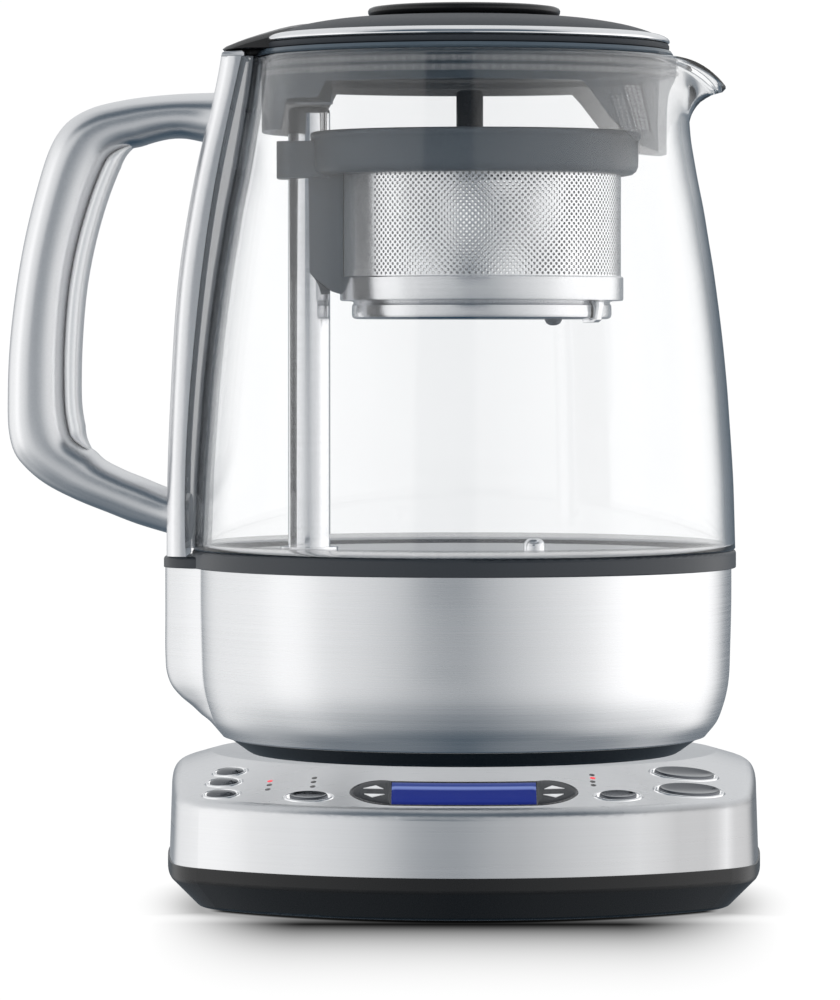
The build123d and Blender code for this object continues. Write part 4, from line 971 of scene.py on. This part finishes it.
def bevelled(name, verts, faces, mat, body, width, segments=3, nodes=(), sharp=35.0, angle=25.0):
    ob = make(name, verts, faces, mat, body, nodes, sharp)
    me = ob.data
    bm = bmesh.new()
    bm.from_mesh(me)
    edges = [e for e in bm.edges if len(e.link_faces) == 2 and e.calc_face_angle(0) > math.radians(angle)]
    bmesh.ops.bevel(bm, geom=edges, offset=width / 1000.0, offset_type="OFFSET", segments=segments, profile=0.5,
                    affect="EDGES", clamp_overlap=True)
    bm.to_mesh(me)
    bm.free()
    finish_mesh(me, sharp)
    return ob


def prism(points, lo, hi, axis="y"):
    """Closed prism of a polygon; points are (x, z) for axis y and (x, y) for axis z."""
    n = len(points)
    if axis == "y":
        verts = [(x, lo, z) for x, z in points] + [(x, hi, z) for x, z in points]
    else:
        verts = [(x, y, lo) for x, y in points] + [(x, y, hi) for x, y in points]
    faces = [tuple(range(n))[::-1], tuple(range(n, 2 * n))]
    faces += [(i, (i + 1) % n, n + (i + 1) % n, n + i) for i in range(n)]
    return verts, faces


def turned(verts, deg, x=0.0, y=0.0):
    a = math.radians(deg)
    c, s = math.cos(a), math.sin(a)
    return [(x + vx * c - vy * s, y + vx * s + vy * c, vz) for vx, vy, vz in verts]


# latch under the band and the hinge knuckle under the pan
for tag, ang in (("a", -31.0),):
    v, f = prism(fillet_poly([(36.2, 168.2), (38.9, 168.2), (39.0, 166.6), (38.2, 162.9), (37.2, 162.2), (33.6, 162.1),
                              (33.6, 163.1), (36.9, 163.5), (37.2, 164.2), (37.2, 166.4)], 0.4, 3), -1.5, 1.5)
    bevelled("basket_latch_" + tag, turned(v, ang, BX), f, "steel_polished", "basket", 0.18, 2)
v, f = lathe_data([(0, 161.3), (1.0, 161.4), (1.9, 161.9), (2.4, 162.8), (2.5, 163.6), (0, 163.6)], 40, x=BX + 19.8, y=-26.0)
make("basket_hinge_knob", v, f, "graphite", "basket")


def boolean(ob, cutter_verts, cutter_faces, operation="DIFFERENCE"):
    cut = make(ob.name + "_cutter", cutter_verts, cutter_faces, "graphite", "basket")
    mod = ob.modifiers.new("cut", "BOOLEAN")
    mod.operation, mod.solver, mod.object = operation, "EXACT", cut
    dg = bpy.context.evaluated_depsgraph_get()
    me = bpy.data.meshes.new_from_object(ob.evaluated_get(dg))
    ob.modifiers.remove(mod)
    old = ob.data
    ob.data = me
    bpy.data.meshes.remove(old)
    cm = cut.data
    bpy.data.objects.remove(cut)
    bpy.data.meshes.remove(cm)
    finish_mesh(me, 35.0)
    return ob


def carriage():
    cx = 3.2
    prof = [(39.75, 204.3), (40.2, 203.9), (43.2, 203.8), (44.6, 204.1), (45.6, 204.9), (46.15, 206.2), (46.25, 208.0), (46.25, 213.4),
            (46.6, 213.9), (46.95, 214.5), (47.0, 215.1), (46.75, 215.65), (46.2, 215.95), (45.5, 215.95), (44.8, 215.6),
            (44.3, 214.9), (43.9, 214.2), (42.8, 213.9), (40.2, 213.9), (39.75, 213.5)]
    v, f = lathe_data(prof, 192, x=cx)
    ob = make("carriage_collar", v, f, "graphite", "basket", ("basket_carriage",))
    # block round the pole and the arm below it
    bv, bf = prism(fillet_poly([(-53.0, -9.0), (-38.0, -9.0), (-38.0, 9.0), (-53.0, 9.0)], [4.5, 0, 0, 4.5], 8), 203.0, 213.4, "z")
    boolean(ob, bv, bf, "UNION")
    av, af = prism(fillet_poly([(-45.6, 209.0), (-30.0, 209.0), (-31.0, 203.4), (-32.4, 201.0), (-33.0, 198.2), (-33.0, 169.6),
                                (-37.4, 171.0), (-40.6, 173.6), (-43.6, 176.2), (-43.9, 203.2)],
                               [0, 0, 1.5, 3, 3, 0.4, 0.6, 0.6, 0.6, 0], 5), -6.5, 6.5)
    boolean(ob, av, af, "UNION")
    hv, hf = lathe_data([(0, 160.0), (6.45, 160.0), (6.45, 230.0), (0, 230.0)], 64, x=-44.0)
    boolean(ob, hv, hf)
    iv, jf = lathe_data([(0, 160.0), (39.7, 160.0), (39.7, 230.0), (0, 230.0)], 160, x=BX)
    boolean(ob, iv, jf)


carriage()
COVER_PROFILE = [(0, 212.0), (38.2, 212.0), (38.6, 212.3), (38.6, 213.0), (38.2, 213.4), (31.6, 213.5), (29.0, 214.4), (26.4, 215.3),
                 (8.6, 216.0), (0, 216.2)]
lathe("basket_cover_turned", COVER_PROFILE, "gloss_black", "basket_cover", ("basket_cover",), x=BX, seg=128, sharp=24)
lathe("basket_cover_stem", [(0, 215.4), (4.6, 215.5), (4.5, 216.5), (3.95, 216.9), (3.8, 217.4), (3.8, 226.8), (3.6, 227.4), (3.1, 227.85),
                            (2.3, 228.0), (0, 228.0)],
      "gloss_black", "basket_cover", x=1.6, seg=96, sharp=30)

# ---------------------------------------------------------------------------
# Lid
# ---------------------------------------------------------------------------
top = [tuple(p) for p in spline([(55.0, 243.35), (53.6, 243.95), (51.1, 244.85), (47.0, 246.0), (41.0, 247.15), (35.0, 247.95),
                                 (28.4, 248.35), (20.0, 248.45), (0.0, 248.45)], 40)]
cap_profile = [(0, 243.9), (36.0, 243.9), (53.0, 240.7), (53.2, 239.4), (53.5, 239.1), (57.5, 239.0), (57.95, 239.25), (58.15, 239.8),
               (58.1, 240.5), (57.7, 240.9), (57.0, 241.0), (55.0, 241.3), (54.9, 243.0)] + top[:-1] + [(0, 248.45)]
lathe("lid_cap_dome", cap_profile, "graphite_gloss", "lid", ("lid_cap",), seg=256, sharp=30)
lathe("lid_chrome_trim", [(54.9, 241.5), (57.2, 241.05), (57.9, 241.1), (58.25, 241.45), (58.2, 241.95), (57.8, 242.45),
                          (57.0, 242.95), (56.1, 243.3), (55.3, 243.5), (54.9, 243.4)],
      "chrome", "lid", ("lid_chrome_ring",), seg=256, sharp=40)
lathe("lid_knob_disc", [(0, 248.3), (25.0, 248.3), (26.0, 248.45), (26.8, 249.0), (27.2, 249.8), (27.25, 250.5), (26.9, 251.1),
                        (26.1, 251.45), (24.0, 251.7), (16.0, 251.85), (0, 251.9)],
      "black_plastic", "lid", ("lid_knob",), seg=192, sharp=40)


def rear_wedge():
    """Black thumb tab that runs out of the dome over the handle column."""
    xs = np.array([-67.95, -67.7, -67.0, -65.5, -63.5, -61.0, -58.0, -55.0, -52.0, -49.0, -46.0, -43.0])
    top = np.interp(xs, [-67.95, -67.7, -67.0, -62.2, -57.0, -50.3, -46.0, -43.0], [239.5, 239.95, 240.45, 242.4, 244.05, 245.95, 246.65, 246.9])
    low = np.interp(xs, [-67.95, -67.5, -62.0, -60.0, -43.0], [239.1, 238.75, 239.35, 239.2, 239.2])
    half = np.interp(xs, [-67.95, -67.6, -66.5, -62.0, -55.0, -43.0], [11.0, 13.4, 15.0, 17.2, 19.6, 22.6])
    rings = []
    for x, t, b, w in zip(xs, top, low, half):
        row = []
        for u in np.linspace(-1, 1, 21):
            y = w * u
            edge = max(0.0, (abs(u) - 0.9) / 0.1)
            row.append((x, y, max(b + 0.2, t - 0.0042 * y * y - 1.0 * (1 - math.sqrt(max(0.0, 1 - edge * edge))))))
        row += [(x, w, b + 0.12), (x, w - 0.6, b), (x, 0.0, b), (x, -w + 0.6, b), (x, -w, b + 0.12)]
        rings.append(row)
    tube_sweep("lid_rear_wedge", rings, "black_plastic", "lid", ("lid_rear_tab",), sharp=40)
    # short hinge barrel between the tab and the rim
    v, f = prism(fillet_poly([(-61.9, 239.4), (-56.2, 239.4), (-56.2, 237.7), (-60.4, 237.5), (-61.9, 238.1)], 0.5, 4), -9.0, 9.0)
    bevelled("lid_rear_lug", v, f, "black_plastic", "lid", 0.3, 2)
    # sloping top of the handle column
    v, f = prism(fillet_poly([(-68.4, 237.0), (-68.15, 237.9), (-67.7, 238.3), (-62.4, 238.85), (-61.6, 238.2), (-61.6, 237.0)],
                             [0, 0.3, 0.5, 0.5, 0.3, 0], 4), -15.6, 15.6)
    bevelled("column_top", v, f, "handle_metal", "jug", 0.35, 3, ("column_cap",))


rear_wedge()


def filter_screen():
    """Perforated strip with long holes in each window beside the spout."""
    verts, faces = [], []
    index = {}
    rad = 57.0
    rows, cols = 12, 4
    z0, z1 = 215.0, 228.6
    hz = (z1 - z0) / rows
    for side in (-1, 1):
        def place_at(u, z):
            # u from 0 to 1 across the slanting window
            t = (z - 215.4) / (228.2 - 215.4)
            xl, xr = 47.0 + (43.1 - 47.0) * t, 51.8 + (48.6 - 51.8) * t
            xx = xl + (xr - xl) * u
            th = side * math.acos(max(-1.0, min(1.0, xx / rad)))
            return (rad * math.cos(th), rad * math.sin(th), z)

        def vert(u, z):
            key = (side, round(u * 10000), round(z * 10000))
            if key not in index:
                index[key] = len(verts)
                verts.append(place_at(u, z))
            return index[key]

        for j in range(rows):
            for i in range(cols):
                shift = 0.5 * hz * (i % 2)
                ua, ub = i / cols, (i + 1) / cols
                za, zb = z0 + j * hz, z0 + (j + 1) * hz
                uc, zc = (ua + ub) / 2, (za + zb) / 2
                ring = []
                for k in range(8):
                    w = math.radians(45 * k + 22.5)
                    ring.append(vert(uc + 0.36 * (ub - ua) * math.cos(w) * 1.05, zc + 0.36 * hz * math.sin(w) * 1.05))
                c4 = [vert(ub, zb), vert(ua, zb), vert(ua, za), vert(ub, za)]
                # ring indices: 0 right-up ... counter-clockwise
                faces.append((c4[3], c4[0], ring[0], ring[7]))
                faces.append((c4[0], c4[1], ring[2], ring[1]))
                faces.append((c4[1], c4[2], ring[4], ring[3]))
                faces.append((c4[2], c4[3], ring[6], ring[5]))
                faces.append((c4[0], ring[1], ring[0]))
                faces.append((c4[1], ring[3], ring[2]))
                faces.append((c4[2], ring[5], ring[4]))
                faces.append((c4[3], ring[7], ring[6]))
    k = (rad - 0.6) / rad
    verts, faces = thick_shell(verts, faces, lambda v: (v[0] * k, v[1] * k, v[2]))
    make("spout_screen", verts, faces, "smoke", "lid", ("spout_filter",), sharp=50)


filter_screen()

# ---------------------------------------------------------------------------
# Panel: keys, rings, arrows
# ---------------------------------------------------------------------------
PANEL_Y, CONE_R0, CONE_Z0 = 10.0, 103.3, 31.3


def panel_frame(rho, phi):
    a = math.radians(phi)
    er = np.array([math.sin(a), -math.cos(a), 0.0])
    n = np.array([er[0] * SIN16, er[1] * SIN16, COS16])
    et = np.array([math.cos(a), math.sin(a), 0.0])
    o = np.array([rho * er[0], PANEL_Y + rho * er[1], CONE_Z0 + (CONE_R0 - rho) * TAN16])
    return o, et, np.cross(n, et), n


KEY_TABLE = {
    "auto_start_button": (81.5, -52.8, 5.55, 2.9, 0.0), "keep_warm_button": (88.9, -48.1, 5.5, 2.9, 0.0),
    "basket_button": (97.0, -43.2, 5.4, 2.85, 0.0), "tea_type_button": (95.3, -26.2, 6.3, 3.05, 0.0),
    "strength_button": (94.6, 26.2, 6.1, 3.05, 0.0), "hot_water_button": (82.0, 47.9, 10.1, 4.8, -14.0),
    "tea_button": (93.6, 41.2, 10.1, 4.8, -9.0),
}


def oval_piece(name, key, profile, mat, body, nodes=(), seg=72, closed=False):
    """Skin over ovals: profile is (offset from the key's edge, height over the panel)."""
    rho, phi, a, b, tw = key
    o, et, es, n = panel_frame(rho, phi)
    t0 = math.radians(tw)
    verts, rows = [], []
    for off, h in profile:
        if off <= -b + 0.02:
            verts.append(tuple(o + n * h))
            rows.append([len(verts) - 1] * seg)
            continue
        # ovals further in keep the distance from the edge on the short axis and shrink in step on the long one
        sb = (b + off) / b
        sa = (a + off) / a if off > -0.6 * b else (a - 0.6 * b) / a * (sb / 0.4)
        k0 = len(verts)
        for k in range(seg):
            t = 2 * math.pi * k / seg
            x, y = a * sa * math.cos(t), b * sb * math.sin(t)
            u, w = x * math.cos(t0) - y * math.sin(t0), x * math.sin(t0) + y * math.cos(t0)
            verts.append(tuple(o + et * u + es * w + n * h))
        rows.append(list(range(k0, k0 + seg)))
    faces = []
    m = len(profile)
    for i in range(m if closed else m - 1):
        A, B = rows[i], rows[(i + 1) % m]
        for j in range(seg):
            k = (j + 1) % seg
            f = []
            for q in (A[j], A[k], B[k], B[j]):
                if q not in f:
                    f.append(q)
            if len(f) >= 3:
                faces.append(tuple(f))
    if not closed and profile[0][0] > -b + 0.02:
        faces.append(tuple(rows[0]))
    return make(name, verts, faces, mat, body, nodes, sharp=45)


WINDOW_HALF, BEZEL_RHO, TIP_X, TIP_RHO = 19.45, (82.3, 100.0), 30.8, 92.8


def rho_y(rho, x):
    return PANEL_Y - math.sqrt(rho * rho - x * x)


def on_panel(x, y, h):
    """Point over the sloping panel; h is measured along the panel's normal."""
    rho = math.hypot(x, y - PANEL_Y)
    er = np.array([x / rho, (y - PANEL_Y) / rho, 0.0])
    n = np.array([er[0] * SIN16, er[1] * SIN16, COS16])
    return tuple(np.array([x, y, CONE_Z0 + (CONE_R0 - rho) * TAN16]) + n * h)


def arc3(p, q, r, n):
    """n + 1 points on the circle through three points."""
    ax, ay, bx, by, cx, cy = *p, *q, *r
    d = 2 * (ax * (by - cy) + bx * (cy - ay) + cx * (ay - by))
    ux = ((ax * ax + ay * ay) * (by - cy) + (bx * bx + by * by) * (cy - ay) + (cx * cx + cy * cy) * (ay - by)) / d
    uy = ((ax * ax + ay * ay) * (cx - bx) + (bx * bx + by * by) * (ax - cx) + (cx * cx + cy * cy) * (bx - ax)) / d
    rad = math.hypot(ax - ux, ay - uy)
    a0, a1, a2 = (math.atan2(y - uy, x - ux) for x, y in (p, q, r))
    way = (a2 - a0 + math.pi) % (2 * math.pi) - math.pi
    mid = (a1 - a0 + math.pi) % (2 * math.pi) - math.pi
    if way * mid < 0:
        way += 2 * math.pi if way < 0 else -2 * math.pi
    return [(ux + rad * math.cos(a0 + way * k / n), uy + rad * math.sin(a0 + way * k / n)) for k in range(n + 1)]


def end_curve(grow, n=14):
    """Pointed right-hand end of the display's outline, from the top corner to the bottom corner."""
    r0, r1 = BEZEL_RHO[0] - grow, BEZEL_RHO[1] + grow
    xt, xs = TIP_X + 1.3 * grow, WINDOW_HALF + 0.3
    tip = (xt, rho_y(TIP_RHO, xt))
    ma = (27.3 + 0.9 * grow, rho_y(r0, 27.3) - 1.7 + 0.5 * grow)
    mb = (26.6 + 0.9 * grow, rho_y(r1, 26.6) + 2.2 - 0.6 * grow)
    return arc3((xs, rho_y(r0, xs)), ma, tip, n)[:-1] + arc3(tip, mb, (xs, rho_y(r1, xs)), n)


def outline(grow):
    """Whole outline, clockwise from the top left corner."""
    right = end_curve(grow)
    xs = WINDOW_HALF + 0.3
    r0, r1 = BEZEL_RHO[0] - grow, BEZEL_RHO[1] + grow
    across = [xs * (k / 12 - 1) for k in range(1, 24)]
    topc = [(x, rho_y(r0, x)) for x in across]
    low = [(-x, rho_y(r1, x)) for x in across]
    left = [(-x, y) for x, y in right[::-1]]
    return topc + right + low + left


def panel_skin(name, loops, mat, body, nodes, fill_first=True, fill_last=True, sharp=40.0):
    """Skin through loops of (points, height) over the panel; both ends are closed or joined round."""
    m = len(loops[0][0])
    verts = [on_panel(x, y, h) for pts, h in loops for x, y in pts]
    faces = grid_faces(len(loops), m, close_u=not (fill_first or fill_last), close_v=True)
    for on, base in ((fill_first, 0), (fill_last, (len(loops) - 1) * m)):
        if on:
            pts, h = loops[0] if base == 0 else loops[-1]
            cx, cy = sum(p[0] for p in pts) / m, sum(p[1] for p in pts) / m
            verts.append(on_panel(cx, cy, h))
            faces += [(base + j, base + (j + 1) % m, len(verts) - 1) for j in range(m)]
    return make(name, verts, faces, mat, body, nodes, sharp)


panel_skin("display_rim", [(outline(-0.02), -1.9), (outline(-0.02), 0.0), (outline(-0.06), 0.16), (outline(-0.20), 0.22),
                           (outline(-0.38), 0.20), (outline(-0.46), 0.08), (outline(-0.46), -1.9)],
           "bezel_dark", "base", ("display_bezel",), fill_first=False, fill_last=False)
# tray under the window and the rockers
panel_skin("display_tray", [(outline(-0.30), -2.15), (outline(-0.30), -1.85)], "bezel_dark", "base", ())


def rocker_key(side, tag):
    """Rocking end key: its edge is rounded and its top a little crowned."""
    base = end_curve(-0.62, 16)
    inner = [(WINDOW_HALF + 0.42, y) for y in np.linspace(base[-1][1], base[0][1], 14)[1:-1]]
    base[0], base[-1] = (WINDOW_HALF + 0.42, base[0][1]), (WINDOW_HALF + 0.42, base[-1][1])
    pts = [(side * x, y) for x, y in base + inner]
    cx, cy = side * 24.2, sum(p[1] for p in pts) / len(pts)
    loops = []
    for d, h in ((0.0, -1.30), (0.0, 0.10), (0.05, 0.26), (0.18, 0.38), (0.45, 0.45)):
        ring = []
        for x, y in pts:
            u = math.hypot(x - cx, y - cy)
            ring.append((cx + (x - cx) * (1 - d / u), cy + (y - cy) * (1 - d / u)))
        loops.append((ring, h))
    for f, h in ((0.66, 0.49), (0.33, 0.51)):
        ring = [(cx + (x - cx) * f, cy + (y - cy) * f) for x, y in loops[4][0]]
        loops.append((ring, h))
    panel_skin(tag + "_rocker_key", loops, "rocker_grey", tag + "_rocker", (tag + "_rocker",))


rocker_key(-1, "temperature")
rocker_key(1, "time")


def display_lens():
    """Long window between the rockers, a little domed across; its glow carries a painted highlight strip near its upper
    edge.
    """
    m = MATS["display"].copy()
    m.name = "display_lens"
    nt = m.node_tree
    p = next(n for n in nt.nodes if n.type == "BSDF_PRINCIPLED")
    p.inputs["Emission Strength"].default_value = 0.55
    p.inputs["Specular IOR Level"].default_value = 0.005
    p.inputs["Coat Weight"].default_value = 0.0
    co = next(n for n in nt.nodes if n.type == "TEX_COORD")
    mp = nt.nodes.new("ShaderNodeMapping")
    mp.inputs["Scale"].default_value = (1, 1, 0)
    mp.inputs["Location"].default_value = (-X0 / 1000, -(Y0 + PANEL_Y) / 1000, 0)
    ln = nt.nodes.new("ShaderNodeVectorMath")
    ln.operation = "LENGTH"
    rg = nt.nodes.new("ShaderNodeMapRange")
    rg.inputs["From Min"].default_value = 0.0828
    rg.inputs["From Max"].default_value = 0.0995
    cr = nt.nodes.new("ShaderNodeValToRGB")
    # the bright band from 0.27 to 0.34 is a painted highlight strip in the glow
    stops = [(0.0, (0.03, 0.05, 0.20)), (0.09, (0.075, 0.12, 0.40)), (0.20, (0.045, 0.08, 0.32)), (0.27, (0.34, 0.45, 0.92)),
             (0.34, (0.28, 0.38, 0.84)), (0.41, (0.018, 0.036, 0.25)), (0.88, (0.020, 0.038, 0.27)), (1.0, (0.008, 0.014, 0.10))]
    els = cr.color_ramp.elements
    for k, (pos, c) in enumerate(stops):
        e = els[k] if k < 2 else els.new(pos)
        e.position = pos
        e.color = (*c, 1)
    nt.links.new(co.outputs["Object"], mp.inputs["Vector"])
    nt.links.new(mp.outputs["Vector"], ln.inputs[0])
    nt.links.new(ln.outputs["Value"], rg.inputs["Value"])
    nt.links.new(rg.outputs["Result"], cr.inputs["Fac"])
    nt.links.new(cr.outputs["Color"], p.inputs["Emission Color"])
    MATS["display_lens"] = m
    nx, nr = 40, 14
    lo, hi, half = 82.84, 99.46, WINDOW_HALF + 0.1
    verts = []
    for i in range(nx + 1):
        x = half * (2 * i / nx - 1)
        end = 1 - max(0.0, (abs(x) - half + 0.5) / 0.5) ** 2
        for j in range(nr + 1):
            w = 2 * j / nr - 1
            rho = (lo + hi) / 2 + (hi - lo) / 2 * w
            h = -0.05 + 0.42 * math.sqrt(max(0.0, 1 - abs(w) ** 3.2)) * (0.55 + 0.45 * math.sqrt(max(0.0, end)))
            verts.append(on_panel(x, rho_y(rho, x), h))
    faces = grid_faces(nx + 1, nr + 1)
    k0 = len(verts)
    edge = ([(i, 0) for i in range(nx + 1)] + [(nx, j) for j in range(1, nr + 1)] + [(i, nr) for i in range(nx - 1, -1, -1)]
            + [(0, j) for j in range(nr - 1, 0, -1)])
    for i, j in edge:
        x = half * (2 * i / nx - 1)
        rho = lo + (hi - lo) * j / nr
        verts.append(on_panel(x, rho_y(rho, x), -1.3))
    q = len(edge)
    for k in range(q):
        a, b = edge[k], edge[(k + 1) % q]
        faces.append((a[0] * (nr + 1) + a[1], b[0] * (nr + 1) + b[1], k0 + (k + 1) % q, k0 + k))
    faces.append(tuple(k0 + k for k in range(q)))
    make("display_lens", verts, faces, "display_lens", "base", ("display_window",), sharp=45)


display_lens()

ring_nodes = ["key_rings"]
for key_name, key in KEY_TABLE.items():
    b = key[3]
    big = b > 4
    medium = key_name in ("tea_type_button", "strength_button")
    steps = (0.12, 0.2, 0.3, 0.42, 0.55, 0.68, 0.8, 0.9)
    if big or medium:
        # dished top inside a rounded rim
        rim, dip = 0.72, 0.62 if big else 0.55
        profile = [(-0.02, -3.0), (0.0, 0.30), (-0.06, 0.52), (-0.20, 0.68), (-0.36, 0.73)]
        profile += [(-u * b, rim - dip * math.sin(0.5 * math.pi * (u - 0.1) / 0.9)) for u in steps] + [(-b, rim - dip)]
    else:
        # crowned top
        profile = [(-0.02, -3.0), (0.0, -0.05), (-0.05, 0.12), (-0.16, 0.25)]
        profile += [(-u * b, 0.25 + 0.70 * math.sin(0.5 * math.pi * (u - 0.05) / 0.95)) for u in steps] + [(-b, 0.95)]
    cap_key = (key[0], key[1], key[2] * (0.9 if medium else 0.96), key[3], key[4])
    oval_piece(key_name + "_cap", cap_key, profile, "key_dark", key_name, (key_name,))
    ring_prof = [(0.34, -1.6), (0.33, -0.05), (0.38, 0.14), (0.52, 0.26), (0.70, 0.27), (0.88, 0.19), (1.02, 0.06), (1.08, -0.12),
                 (1.06, -1.6)]
    oval_piece("ring_" + key_name, key, ring_prof, "chrome", "base", tuple(ring_nodes), closed=True)
    ring_nodes = []

for tag, sgn in (("temperature", -1), ("time", 1)):
    for word, rho, up, phi in (("up", 88.3, 1, 15.9), ("down", 94.4, -1, 15.0)):
        o, et, es, n = panel_frame(rho, sgn * phi)
        tri = [(-2.85, -1.1), (2.85, -1.1), (0.0, 1.25)] if up > 0 else [(2.85, 1.1), (-2.85, 1.1), (0.0, -1.25)]
        base = [o + et * a + es * b + n * 0.44 for a, b in tri]
        lift = [o + et * a + es * b + n * 0.66 for a, b in tri]
        v = [tuple(p) for p in base + lift]
        make("arrow_%s_%s" % (tag, word), v, [(2, 1, 0), (3, 4, 5), (0, 1, 4, 3), (1, 2, 5, 4), (2, 0, 3, 5)], "label_white",
             tag + "_rocker")

for ob in list(bpy.data.objects):
    if ob.name.startswith(("display_", "ring_", "arrow_", "temperature_rocker_", "time_rocker_")) or "_button_cap" in ob.name:
        ob.visible_glossy = False
